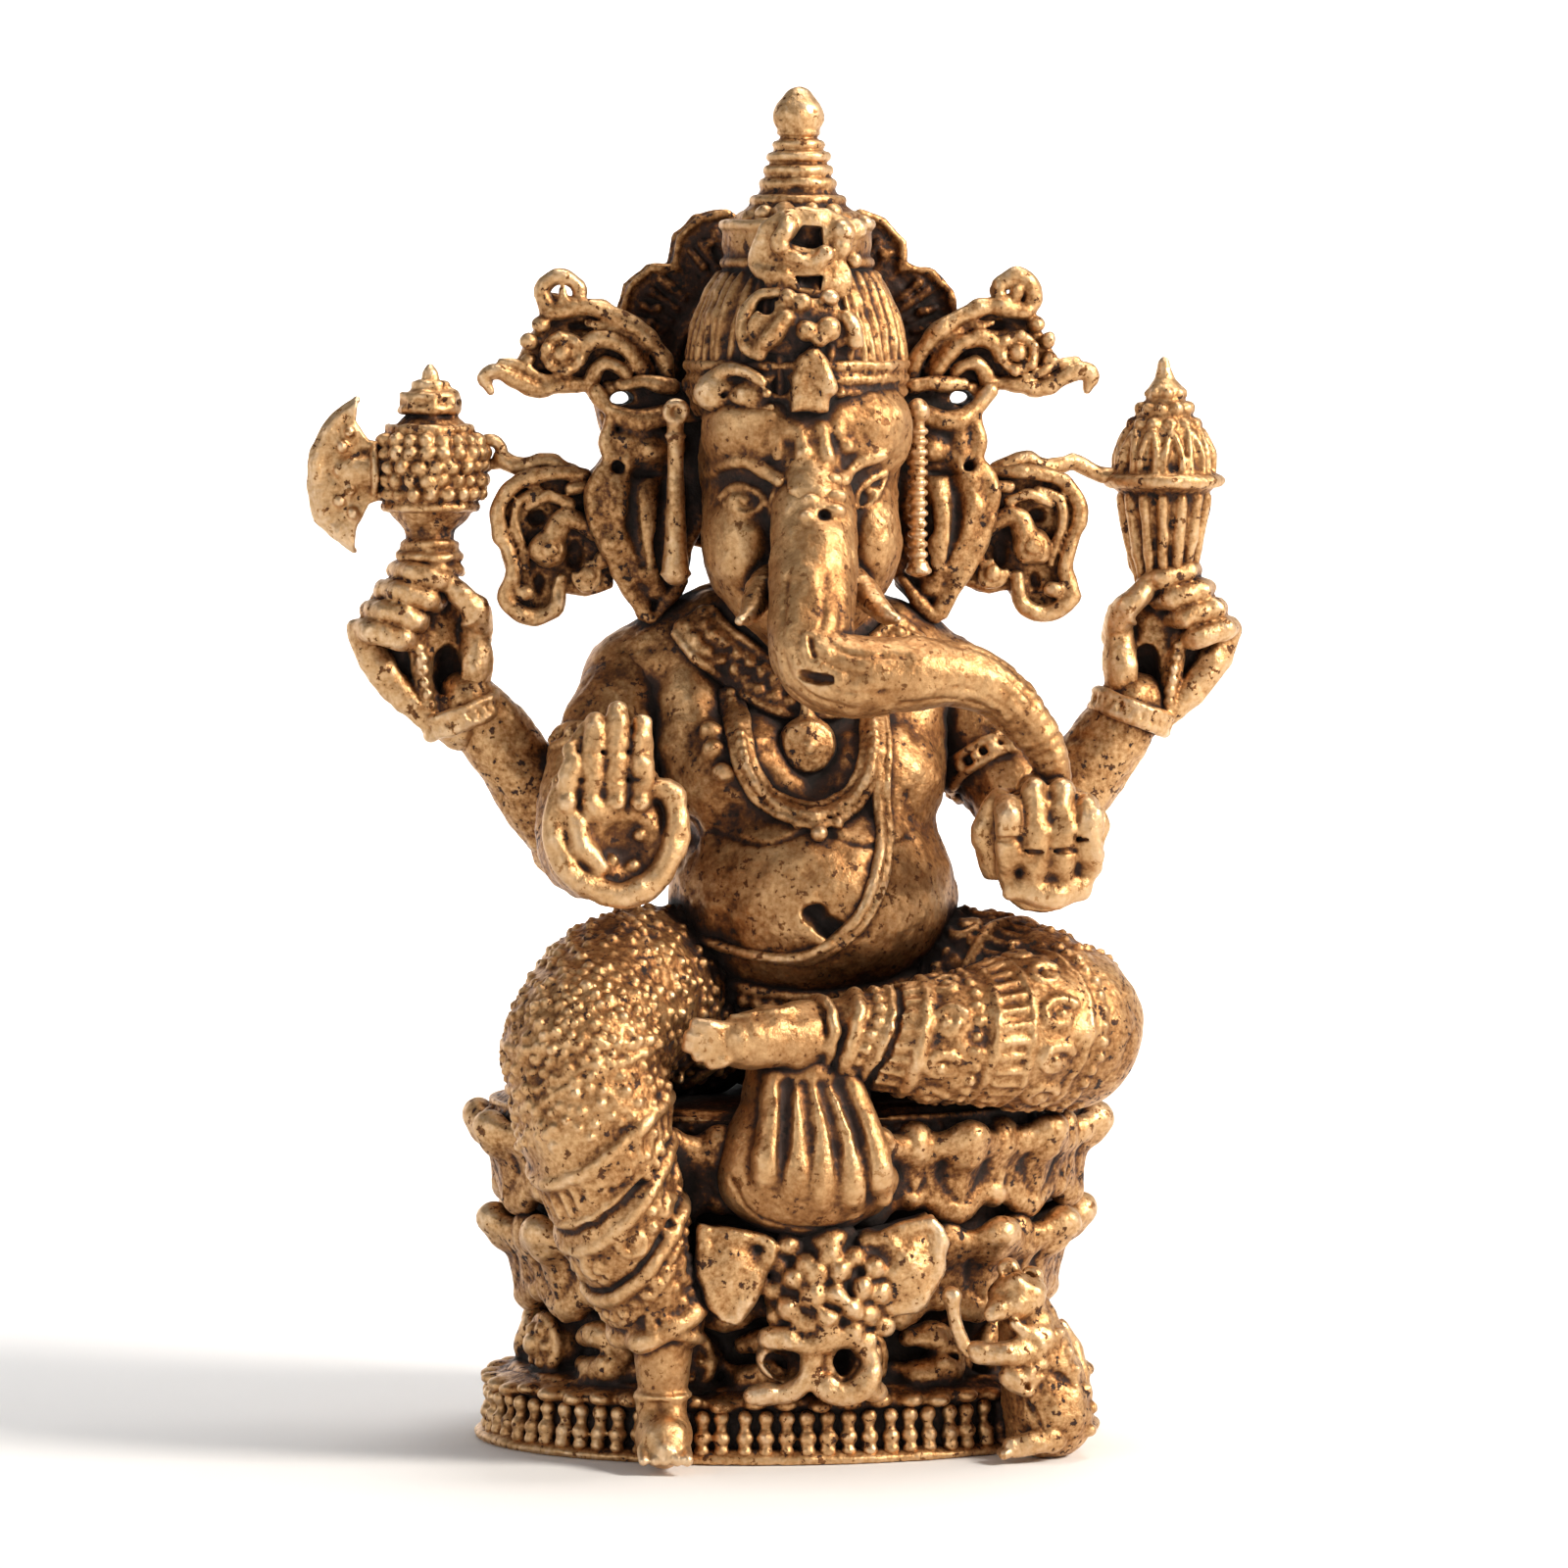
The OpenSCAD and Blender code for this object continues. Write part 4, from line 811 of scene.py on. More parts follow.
def trunk():
    c = Clay((-2.4, -10.4, 21.4), (9.2, -2.4, 33.6), 0.085)
    p, r = smooth_path(TRUNK, TRUNK_RADII, 0.12)
    s = np.concatenate([[0], np.cumsum(np.linalg.norm(np.diff(p, axis=0), axis=1))])
    c.tube(p, r, 0.05, step=9)
    t = np.gradient(p, axis=0)
    t /= np.linalg.norm(t, axis=1, keepdims=True)
    side = np.cross(t, BACK)
    side /= np.linalg.norm(side, axis=1, keepdims=True)
    front = np.cross(side, t)
    front *= -np.sign(front[:, 1:2])
    rng = np.random.default_rng(4)
    # fine lines that run along it, each broken here and there
    for ang in (-70, -46, -20, 8, 34, 60):
        a = math.radians(ang)
        q = p + (math.cos(a) * front + math.sin(a) * side) * (r * 0.99)[:, None]
        i = int(rng.uniform(30, 60))
        while i < len(q) - 20:
            j = min(len(q) - 6, i + int(rng.uniform(14, 40)))
            c.tube(q[i:j:3], 0.055, 0.08, cut=True, step=9)
            i = j + int(rng.uniform(8, 30))
    # two columns of lumps at the root
    for x, z, size in ((-0.05, 32.1, 0.24), (-0.12, 31.55, 0.24), (-0.28, 31.0, 0.22), (0.68, 32.15, 0.3),
                       (0.76, 31.65, 0.3), (0.7, 31.15, 0.28), (0.3, 32.5, 0.2)):
        c.dots([(x, z)], (size * 1.15, size * 0.8, size * 0.85), 0.06)
    c.dots([(0.3, 31.05)], (0.22, 0.4, 0.2), 0.05, cut=True)
    # slots in the bend
    c.draw([(-0.75, 25.95), (-0.32, 25.85), (0.1, 25.8)], 0.17, 0.04, cut=True, lift=-0.05)
    c.draw([(-0.5, 27.1), (-0.42, 26.6)], 0.13, 0.04, cut=True, lift=-0.03)
    # rings near the tip
    for u in np.arange(13.5, s[-1] - 0.3, 0.42):
        i = int(np.searchsorted(s, u))
        c.ring(p[i], r[i] + 0.02, 0.07, t[i], 0.05, cut=True)
    c.ball(p[-1] + V([0.1, -0.25, -0.25]), 0.3, 0.1, cut=True)
    c.rough(0.025, 0.6, 32)
    c.rough(0.015, 0.3, 33)
    return c


def tusk(s):
    c = Clay((min(s * 0.8, s * 3.4), -7.6, 26.6), (max(s * 0.8, s * 3.4), -3.6, 29.6), 0.07)
    c.tube([(0.1 + s * 1.35, -4.3, 28.8), (0.1 + s * 1.85, -5.3, 28.25), (0.1 + s * 2.2, -6.1, 27.8),
            (0.1 + s * 2.6, -6.6, 27.6)], [0.6, 0.48, 0.34, 0.16], 0.05)
    c.ring((0.1 + s * 1.6, -4.9, 28.45), 0.5, 0.12, V([s * 0.5, -0.85, -0.45]), 0.05)
    c.rough(0.02, 0.4, 33)
    return c


def sided(s, shift, near, far):
    """A placer for a piece on the viewer's right (s = 1) or left (s = -1), and the piece's limits in x.

    The left ones are the right ones mirrored, then moved by the shift.
    """
    dx = 0 if s > 0 else shift
    lo, hi = sorted((s * near + dx, s * far + dx))
    return lambda x, y, z: (s * x + dx, y, z), lo, hi


def ear(s):
    at, lo, hi = sided(s, 0.3, 2.6, 7.9)
    c = Clay((lo, -1.7, 26.7), (hi, 1.6, 36.4), 0.08)
    o = [(3.0, 34.6), (4.0, 35.3), (5.2, 35.4), (6.4, 35.2), (6.75, 34.6), (6.5, 33.6), (6.45, 32.8),
         (6.85, 32.2), (7.0, 31.4), (6.7, 30.2), (6.1, 29.0), (5.6, 28.3), (5.3, 27.4), (4.85, 27.1),
         (4.2, 27.8), (3.7, 28.4), (3.5, 29.6), (3.0, 30.6)]
    c.slab([at(x, 0, z)[::2] for x, z in o], -0.1, 1.0, 0.1, soft=0.3)
    # rolled upper edge and outer edge
    c.tube([at(3.4, -0.4, 34.2), at(4.4, -0.5, 34.15), at(5.4, -0.5, 33.95), at(6.2, -0.35, 34.25),
            at(6.75, -0.2, 34.9)], [0.3, 0.38, 0.38, 0.32, 0.28], 0.15)
    c.tube([at(4.2, -0.3, 35.1), at(5.2, -0.3, 35.2), at(5.9, -0.2, 35.15)], [0.25, 0.28, 0.22], 0.15)
    c.tube([at(6.3, -0.3, 34.0), at(6.4, -0.35, 33.2), at(6.35, -0.35, 32.6), at(6.75, -0.35, 32.0),
            at(6.85, -0.35, 31.2), at(6.5, -0.35, 30.0), at(5.95, -0.35, 28.9), at(5.5, -0.3, 28.2),
            at(5.2, -0.2, 27.5)], [0.28, 0.28, 0.26, 0.3, 0.32, 0.3, 0.28, 0.26, 0.22], 0.1)
    # the broad smooth folds of the ear
    c.ball(at(5.0, -0.1, 33.1), (1.3, 0.5, 0.75), 0.3)
    c.tube([at(5.75, -0.1, 32.8), at(6.1, -0.25, 31.6), at(5.9, -0.25, 30.3), at(5.4, -0.2, 29.0)],
           [0.5, 0.62, 0.6, 0.45], 0.3)
    c.tube([at(4.9, 0.0, 32.2), at(5.15, -0.35, 30.9), at(5.0, -0.3, 29.4), at(4.8, -0.2, 28.4)],
           [0.45, 0.62, 0.55, 0.4], 0.2)
    c.tube([at(4.2, 0.1, 31.9), at(4.3, -0.1, 30.4), at(4.4, -0.1, 29.0)], [0.4, 0.5, 0.4], 0.2)
    for q in ((at(5.5, -0.7, 32.0), at(5.62, -0.8, 30.6), at(5.25, -0.7, 29.2)), (at(4.6, -0.6, 31.4),
                                                                                  at(4.7, -0.6, 30.2),
                                                                                  at(4.7, -0.5, 28.9))):
        c.tube(q, [0.1, 0.2, 0.1], 0.2, cut=True)
    c.ball(at(4.85, -0.5, 33.0), (0.5, 0.4, 0.4), 0.2)
    c.ball(at(5.75, -0.4, 33.3), (0.4, 0.36, 0.4), 0.15)
    c.ball(at(4.1, -0.3, 33.0), (0.34, 0.36, 0.5), 0.15)
    c.ball(at(6.05, -0.6, 32.45), (0.22, 0.4, 0.22), 0.15, cut=True)
    c.ball(at(5.0, -0.6, 32.2), (0.6, 0.4, 0.16), 0.12, cut=True)
    # curled tip, and the small window under the scroll
    c.tube([at(5.3, -0.2, 28.4), at(4.95, -0.3, 27.4), at(4.4, -0.25, 27.9), at(3.9, -0.1, 28.6)],
           [0.28, 0.24, 0.26, 0.2], 0.08)
    c.ball(at(5.85, 0.5, 34.72), (0.4, 2.5, 0.24), 0.05, cut=True)
    c.rough(0.05, 0.6, 35 + s)
    return c


def right_ear_drop():
    c = Clay((3.3, -2.7, 28.4), (4.9, -1.1, 35), 0.07)
    c.tube([(4.1, -1.9, 29.0), (4.1, -1.9, 34.2)], 0.22, 0.03)
    for i, z in enumerate(np.arange(29.2, 33.9, 0.34)):
        c.ball((4.1, -1.9, z), (0.36, 0.34, 0.17), 0.02)
    c.ball((4.1, -1.9, 34.3), 0.42, 0.03)
    c.ball((4.1, -1.9, 29.0), (0.45, 0.42, 0.2), 0.03)
    c.rough(0.015, 0.4, 37)
    return c


def left_ear_drop():
    c = Clay((-4.8, -2.8, 28.3), (-3.1, -1.1, 35), 0.07)
    c.tube([(-4.0, -1.9, 34.2), (-4.0, -1.9, 32.6), (-4.0, -1.9, 30.2), (-4.0, -1.9, 29.0)],
           [0.28, 0.26, 0.36, 0.45], 0.03)
    c.ring((-4.0, -2.1, 34.3), 0.3, 0.16, BACK)
    c.ball((-4.0, -1.9, 28.95), (0.52, 0.45, 0.18), 0.03)
    c.ball((-4.0, -1.9, 33.5), (0.36, 0.34, 0.14), 0.03)
    c.rough(0.015, 0.4, 38)
    return c


def upper_scroll(s):
    at, lo, hi = sided(s, 0.2, 3.6, 10.9)
    c = Clay((lo, -1.3, 33.4), (hi, 1.8, 39.3), 0.08)
    c.slab([at(x, 0, z)[::2] for x, z in [(4.2, 34.4), (4.2, 36.0), (5.0, 37.1), (6.1, 37.75), (7.2, 38.1),
                                          (8.1, 38.2), (8.4, 37.3), (8.9, 36.6), (9.2, 36.0), (9.7, 35.8),
                                          (9.4, 35.1), (8.4, 34.9), (7.6, 35.1), (6.9, 35.1), (6.6, 34.5),
                                          (5.9, 34.1)]], 0.3, 1.1, 0.1, soft=0.25)
    # the knob that the upper ridge curls into
    c.tube([at(8.2, 0.2, 37.5), at(8.35, 0.2, 38.3), at(7.8, 0.15, 38.75), at(7.2, 0.15, 38.45),
            at(7.2, 0.1, 37.95), at(7.65, 0.0, 37.95), at(7.75, 0.0, 38.3)], [0.28, 0.3, 0.3, 0.28, 0.26,
                                                                              0.22, 0.2], 0.05)
    c.tube([at(8.1, 0.1, 37.55), at(7.0, 0.0, 37.75), at(6.1, 0.0, 37.5), at(5.0, 0.0, 36.8),
            at(4.35, 0.1, 35.95), at(4.2, 0.2, 35.2)], [0.3, 0.32, 0.34, 0.34, 0.3, 0.26], 0.05)
    c.tube([at(6.9, 0.0, 37.2), at(6.0, -0.02, 37.0), at(5.2, 0.0, 36.35), at(4.75, 0.1, 35.6)],
           [0.16, 0.2, 0.2, 0.16], 0.04)
    c.tube([at(7.2, 0.0, 36.05), at(6.95, -0.1, 36.5), at(6.4, -0.15, 36.68), at(5.65, -0.15, 36.4),
            at(5.1, -0.05, 35.7), at(4.85, 0.05, 35.0)], [0.28, 0.3, 0.3, 0.3, 0.27, 0.24], 0.05)
    c.tube([at(6.15, 0.1, 34.3), at(6.75, 0.05, 34.9), at(6.7, 0.0, 35.5), at(6.3, -0.1, 35.86),
            at(5.76, -0.1, 35.65), at(5.45, 0.0, 35.15)], [0.24, 0.26, 0.26, 0.25, 0.22, 0.2], 0.05)
    # rosette
    c.ring(at(7.76, -0.1, 36.2), 0.55, 0.2, BACK, 0.05)
    c.ball(at(7.76, -0.15, 36.2), 0.32, 0.04)
    for a in range(20, 380, 60):
        c.ball(at(7.76 + 0.6 * math.cos(math.radians(a)), -0.22, 36.2 + 0.6 * math.sin(math.radians(a))),
               0.19, 0.03)
    for x, z, r in ((8.45, 37.15, 0.34), (8.85, 36.6, 0.32), (8.9, 36.0, 0.26)):
        c.ball(at(x, 0.1, z), r, 0.05)
    # tail
    c.tube([at(7.0, 0.15, 35.15), at(7.96, 0.1, 35.15), at(8.5, 0.1, 35.0), at(9.3, 0.1, 35.35),
            at(9.9, 0.1, 35.6), at(10.3, 0.1, 35.4), at(10.15, 0.1, 34.95)], [0.25, 0.3, 0.32, 0.32, 0.32,
                                                                              0.28, 0.2], 0.06)
    c.tube([at(7.5, 0.05, 35.6), at(8.4, 0.0, 35.45), at(9.1, 0.0, 35.8), at(9.8, 0.1, 35.95)],
           [0.16, 0.18, 0.18, 0.15], 0.05)
    c.ball(at(7.05, 0.2, 37.1), (0.55, 0.3, 0.16), 0.06, cut=True)
    c.ball(at(8.1, 0.2, 35.55), (0.5, 0.3, 0.14), 0.06, cut=True)
    c.ball(at(5.85, 0.6, 34.72), (0.42, 2.5, 0.26), 0.06, cut=True)
    c.rough(0.04, 0.45, 40 + s)
    return c


def lower_scroll(s):
    at, lo, hi = sided(s, 0.2, 5.5, 10.6)
    c = Clay((lo, -1.3, 26.9), (hi, 1.8, 33.2), 0.08)
    c.slab([at(x, 0, z)[::2] for x, z in [(6.3, 31.9), (7.2, 32.4), (8.6, 32.3), (9.6, 31.8), (10.0, 30.8),
                                          (9.8, 29.7), (9.6, 28.9), (9.8, 28.2), (9.5, 27.6), (8.7, 27.35),
                                          (7.9, 27.7), (7.6, 28.2), (6.9, 28.1), (6.0, 28.4), (5.9, 30.0)]],
           0.35, 1.1, 0.1, soft=0.25)
    c.tube([at(7.0, 0.1, 32.2), at(8.2, 0.0, 32.2), at(9.2, 0.0, 31.95), at(9.85, 0.0, 31.2),
            at(9.85, 0.0, 30.4), at(9.55, 0.0, 29.6), at(9.4, 0.0, 28.9), at(9.65, 0.0, 28.1),
            at(9.2, 0.0, 27.6), at(8.6, 0.0, 27.45), at(7.95, 0.0, 27.8), at(7.8, 0.05, 28.7)],
           [0.22, 0.26, 0.28, 0.28, 0.28, 0.28, 0.28, 0.3, 0.3, 0.3, 0.28, 0.24], 0.05)
    c.tube([at(8.5, 0.05, 31.6), at(9.2, 0.0, 31.3), at(9.35, 0.0, 30.5), at(9.1, 0.0, 29.8), at(8.95, 0.05,
                                                                                                 29.1)],
           [0.16, 0.2, 0.2, 0.19, 0.16], 0.04)
    # comma-shaped bud and its stem
    c.ball(at(8.25, -0.1, 29.7), (0.66, 0.6, 0.62), 0.06)
    c.tube([at(8.0, -0.15, 30.2), at(7.75, -0.15, 30.75), at(7.15, -0.05, 30.6), at(6.7, 0.05, 30.2)],
           [0.42, 0.32, 0.3, 0.26], 0.1)
    c.ring(at(8.25, -0.62, 29.7), 0.34, 0.08, BACK, 0.03, cut=True)
    c.tube([at(8.9, 0.0, 31.1), at(8.2, -0.1, 31.45), at(7.5, -0.05, 31.2)], [0.16, 0.22, 0.2], 0.05)
    c.tube([at(6.4, 0.0, 31.7), at(7.0, -0.05, 31.75), at(7.5, 0.0, 31.7)], 0.22, 0.06)
    c.ball(at(9.0, 0.0, 28.25), (0.4, 0.34, 0.28), 0.06)
    c.ball(at(6.95, 0.0, 28.8), 0.36, 0.06)
    c.ring(at(6.95, -0.05, 28.8), 0.42, 0.12, BACK, 0.04)
    c.ball(at(6.4, 0.0, 29.35), 0.3, 0.06)
    c.ball(at(8.55, 0.15, 30.75), (0.4, 0.5, 0.3), 0.08, cut=True)
    c.ball(at(7.3, 0.1, 29.5), (0.35, 0.5, 0.6), 0.08, cut=True)
    c.ball(at(8.5, 0.1, 28.5), (0.25, 0.5, 0.45), 0.08, cut=True)
    c.rough(0.04, 0.45, 45 + s)
    return c


def halo_disc():
    c = Clay((-6.8, 1.0, 28.5), (7.4, 3.6, 42.0))
    cx, cz = 0.3, 35.2
    m = V([cx, 0, cz])
    rng = np.random.default_rng(6)
    turns = np.linspace(0, 2 * math.pi, 48, endpoint=False)
    c.slab([(cx + 5.15 * math.cos(a), cz + 5.15 * math.sin(a)) for a in turns], 1.75, 2.75, 0.1, soft=0.2)
    for i in range(12):
        if i % 6 == 0:
            continue        # the ears and scrolls join on here
        a = 2 * math.pi * i / 12
        d, t = V([math.cos(a), 0, math.sin(a)]), V([-math.sin(a), 0, math.cos(a)])
        q = [m + d * 4.4 + t * -1.25, m + d * 5.15 + t * -1.42, m + d * 5.95 + t * -1.0,
             m + d * 6.25 + t * -0.1, m + d * 6.05 + t * 0.75, m + d * 5.3 + t * 1.4,
             m + d * 4.4 + t * 1.25]
        c.slab([(p[0], p[2]) for p in q], 1.8, 2.7, 0.02, soft=0.08)
        for side_y, way in ((1.75, -1), (2.75, 1)):
            face = BACK * side_y
            for e0, e1 in zip(q[1:5], q[2:6]):
                c.tube([e0 + face, e1 + face], 0.13, 0.03)
            for u in (-0.8, -0.3, 0.25, 0.7):
                c.tube([m + d * 4.5 + t * u * 0.8 + face, m + d * (5.6 - 0.2 * abs(u)) + t * u + face],
                       [0.12, 0.17], 0.04)
            for _ in range(2):
                stud = m + d * rng.uniform(4.7, 5.6) + t * rng.uniform(-0.8, 0.8)
                c.ball(stud + BACK * 0.08 * way + face, 0.2, 0.03)
    for side_y in (1.75, 2.75):
        for big in (1.2, 2.6, 3.9):
            c.ring((cx, side_y, cz), big, 0.18, BACK, 0.05)
    for i in range(24):
        a = 2 * math.pi * i / 24
        c.ball((cx + 3.25 * math.cos(a), 2.78, cz + 3.25 * math.sin(a)), 0.26, 0.04)
    c.ball((cx, 2.7, cz), (0.9, 0.6, 0.9), 0.1)
    for i in range(8):
        a = math.pi * i / 4
        c.ball((cx + 1.9 * math.cos(a), 2.75, cz + 1.9 * math.sin(a)), (0.4, 0.25, 0.4), 0.05)
    c.rough(0.05, 0.5, 50)
    return c


# the crown's cap as [radius, height] pairs, mm, and its depth over its width
DOME = [[3.2, 34.0], [3.5, 35.0], [3.6, 36.2], [3.42, 37.2], [3.02, 38.2], [2.5, 38.95], [2.25, 39.15],
        [2.42, 39.35], [2.5, 39.8], [2.45, 40.3], [2.2, 40.55], [1.4, 40.65]]
DOME_OVAL = 0.95


def crown_dome():
    c = Clay((-4.1, -5.7, 33.8), (4.3, 2.4, 41.2), 0.08)
    c.turned_on((0.1, HEAD_Y, 0), DOME, 0.1, oval=DOME_OVAL)
    prof = np.array(DOME)
    rng = np.random.default_rng(3)
    # strands of matted hair
    for i in range(46):
        a = 2 * math.pi * i / 46 + rng.uniform(-0.02, 0.02)
        z = np.linspace(34.6, 38.8, 9)
        r = np.interp(z, prof[:, 1], prof[:, 0]) - 0.03
        w = a + 0.05 * np.sin((z - 34.6) * 0.8 + i)
        c.tube(np.stack([0.1 + r * np.cos(w), HEAD_Y + DOME_OVAL * r * np.sin(w), z], 1), 0.15, 0.05,
               step=0.5)
    # blocks of the cap over them
    for i in range(14):
        a = 2 * math.pi * (i + 0.5) / 14
        c.tube([(0.1 + 2.62 * math.cos(a), HEAD_Y + DOME_OVAL * 2.62 * math.sin(a), z) for z in (39.3,
                                                                                                 40.7)],
               0.14, 0.05, cut=True)
    for z, r, w in ((39.2, 2.4, 0.2), (40.45, 2.4, 0.2)):
        c.ring((0.1, HEAD_Y, z), r, w, UP, 0.05, oval=DOME_OVAL)
    c.rough(0.03, 0.45, 52)
    c.keep(34.0)
    return c


def crown_diadem():
    c = Clay((-4.2, -6.3, 33.8), (4.4, 2.3, 37.2), 0.08)
    c.turned_on((0.1, HEAD_Y, 0), [[3.35, 34.15], [3.5, 34.4], [3.58, 35.0], [3.62, 35.9], [3.5, 36.1]],
                0.05, oval=DOME_OVAL)
    for z, r in ((34.5, 0.13), (34.95, 0.17), (35.4, 0.17), (35.85, 0.17)):
        big = np.interp(z, [q[1] for q in DOME], [q[0] for q in DOME])
        c.ring((0.1, HEAD_Y, z), big + 0.03, r, UP, 0.1, oval=DOME_OVAL)
    at = dome_front
    # broad leaf at the viewer's left, with a rolled upper edge and veins
    c.ball(at(-2.5, 35.0, 0.0), (1.15, 0.55, 0.75), 0.15)
    c.ball(at(-1.7, 34.9, 0.0), (0.8, 0.5, 0.55), 0.2)
    c.tube([at(-3.35, 34.75, 0.15), at(-3.15, 35.3, 0.25), at(-2.6, 35.7, 0.35), at(-2.0, 35.65, 0.4),
            at(-1.5, 35.3, 0.4)], [0.18, 0.22, 0.24, 0.22, 0.18], 0.1)
    c.tube([at(-3.3, 34.7, 0.15), at(-2.7, 34.45, 0.25), at(-1.9, 34.4, 0.35), at(-1.2, 34.5, 0.35)], 0.16,
           0.12)
    c.tube([at(-2.95, 35.15, 0.45), at(-2.75, 34.85, 0.5), at(-2.5, 35.1, 0.5), at(-2.3, 34.85, 0.55)],
           0.08, 0.06, cut=True, step=0.2)
    # pointed crest over the forehead, brightest along its right edge
    c.slab([(-0.6, 34.35), (0.62, 34.35), (0.72, 35.0), (0.45, 35.7), (0.1, 36.35), (-0.3, 36.2),
            (-0.55, 35.5)], HEAD_Y - 4.0, HEAD_Y - 3.0, 0.3, soft=0.3)
    c.tube([(0.12, HEAD_Y - 3.75, 36.3), (0.42, HEAD_Y - 3.9, 35.75), (0.66, HEAD_Y - 3.95, 35.1)],
           [0.22, 0.27, 0.25], 0.3)
    c.ball((-0.9, HEAD_Y - 3.75, 35.2), (0.34, 0.9, 0.36), 0.08, cut=True)
    c.ball(at(-1.38, 34.95, 0.42), 0.2, 0.06)
    c.ball(at(1.1, 34.95, 0.15), 0.17, 0.05)
    # pendants and studs round the sides and back
    for i in range(20):
        a = math.radians(20 + i * 140 / 19)
        c.ball((0.1 + 3.7 * math.cos(a), HEAD_Y + DOME_OVAL * 3.7 * math.sin(a), 35.15), (0.24, 0.24, 0.3),
               0.05)
    c.rough(0.03, 0.45, 53)
    return c


def crown_jewel():
    c = Clay((-2.9, -6.6, 35.7), (3.2, -2.2, 41.4), 0.08)
    at = dome_front
    # the plate the ornament is built on
    c.ball(at(0.1, 40.0, 0.0), (1.7, 0.42, 1.05), 0.2)
    c.ball(at(0.1, 38.6, 0.0), (1.45, 0.38, 1.2), 0.3)
    c.ball(at(-0.2, 37.1, 0.0), (1.8, 0.32, 1.0), 0.3)
    # hollows: two in the middle, a long one at the right and one at the foot
    c.slab([(-0.5, 39.85), (-0.1, 40.45), (0.55, 40.4), (0.6, 39.75), (0.3, 39.65)], -9,
           at(0, 40, -0.25)[1], 0.06, cut=True, soft=0.15)
    c.slab([(-0.35, 38.75), (0.6, 38.8), (0.5, 38.3), (-0.2, 38.4)], -9, at(0, 38.5, -0.2)[1], 0.06,
           cut=True, soft=0.12)
    c.tube([at(1.05, 38.05, 0.35), at(1.4, 37.6, 0.3), at(1.68, 37.05, 0.25)], [0.22, 0.34, 0.2], 0.06,
           cut=True)
    c.ball(at(0.7, 36.35, 0.3), (0.24, 0.5, 0.22), 0.05, cut=True)
    # angular frame of the upper hollow
    c.tube([at(-0.55, 40.85, 0.55), at(-0.6, 40.4, 0.65), at(-0.9, 39.9, 0.7), at(-0.85, 39.75, 0.7)],
           [0.36, 0.3, 0.27, 0.3], 0.1)
    c.tube([at(-0.6, 39.45, 0.6), at(-0.15, 39.3, 0.65), at(0.3, 39.1, 0.65)], [0.24, 0.25, 0.26], 0.08)
    c.tube([at(0.35, 39.1, 0.65), at(0.65, 39.5, 0.65)], [0.26, 0.3], 0.08)
    for x, z, r in ((-1.15, 40.8, 0.3), (1.1, 40.85, 0.34), (1.25, 40.2, 0.42), (1.2, 39.7, 0.34),
                    (1.75, 40.3, 0.34), (2.1, 40.5, 0.26), (1.7, 39.3, 0.28), (0.35, 40.95, 0.26),
                    (-0.67, 38.1, 0.3), (-0.2, 37.9, 0.33), (0.72, 38.05, 0.3), (-0.75, 37.4, 0.28),
                    (-0.1, 37.0, 0.36), (0.64, 37.05, 0.42), (0.3, 36.75, 0.28)):
        c.ball(at(x, z, 0.5), r, 0.1)
    # loop beside the upper hollow, oval loop with a leaf in it, and the scroll at the right
    c.tube([at(-1.0, 40.4, 0.35), at(-1.45, 39.8, 0.35), at(-1.55, 39.2, 0.35), at(-1.2, 38.85, 0.4),
            at(-0.7, 38.85, 0.45)], [0.2, 0.24, 0.26, 0.26, 0.24], 0.12)
    c.ball(at(-1.0, 39.45, 0.2), (0.5, 0.35, 0.55), 0.2)
    c.tube([at(-1.0, 38.25, 0.35), at(-1.5, 38.1, 0.3), at(-1.95, 37.6, 0.3), at(-2.1, 36.95, 0.3),
            at(-1.95, 36.4, 0.3), at(-1.6, 36.2, 0.35)], [0.2, 0.24, 0.25, 0.25, 0.24, 0.2], 0.08)
    c.ball(at(-1.35, 37.75, 0.35), (0.3, 0.45, 0.3), 0.08, cut=True)
    c.tube([at(-1.55, 36.5, 0.35), at(-1.15, 36.9, 0.45), at(-0.8, 37.4, 0.45)], [0.3, 0.36, 0.28], 0.12)
    c.tube([at(1.25, 37.4, 0.4), at(1.5, 37.0, 0.4), at(1.55, 36.6, 0.35)], [0.27, 0.3, 0.24], 0.08)
    c.rough(0.03, 0.4, 54)
    return c


def crown_spire():
    c = Clay((-2.3, HEAD_Y - 2.3, 40.0), (2.6, HEAD_Y + 2.3, 45.1), 0.07)
    m = (0.15, HEAD_Y, 0)
    c.turned_on(m, [[1.2, 40.1], [1.5, 40.3], [1.95, 40.55], [1.95, 40.8], [1.6, 41.1], [1.3, 41.5],
                    [1.15, 41.8], [1.1, 42.0], [0.95, 42.4], [0.85, 42.9], [0.65, 43.3], [0.6, 43.4]], 0.05)
    for z, r, w in ((40.65, 1.85, 0.26), (41.25, 1.42, 0.2), (41.8, 1.1, 0.2), (42.25, 0.98, 0.19),
                    (42.7, 0.9, 0.18), (43.1, 0.74, 0.16)):
        c.ring((0.15, HEAD_Y, z), r, w, UP, 0.04)
    for q in around((0.15, HEAD_Y, 40.6), 1.95, 16):
        c.ball(q, 0.24, 0.05)
    c.ball((0.15, HEAD_Y, 44.05), (0.85, 0.85, 0.8), 0.1)
    c.ball((0.15, HEAD_Y, 44.6), (0.5, 0.5, 0.42), 0.15)
    c.ring((0.15, HEAD_Y, 43.5), 0.62, 0.12, UP, 0.04)
    c.rough(0.025, 0.5, 55)
    return c


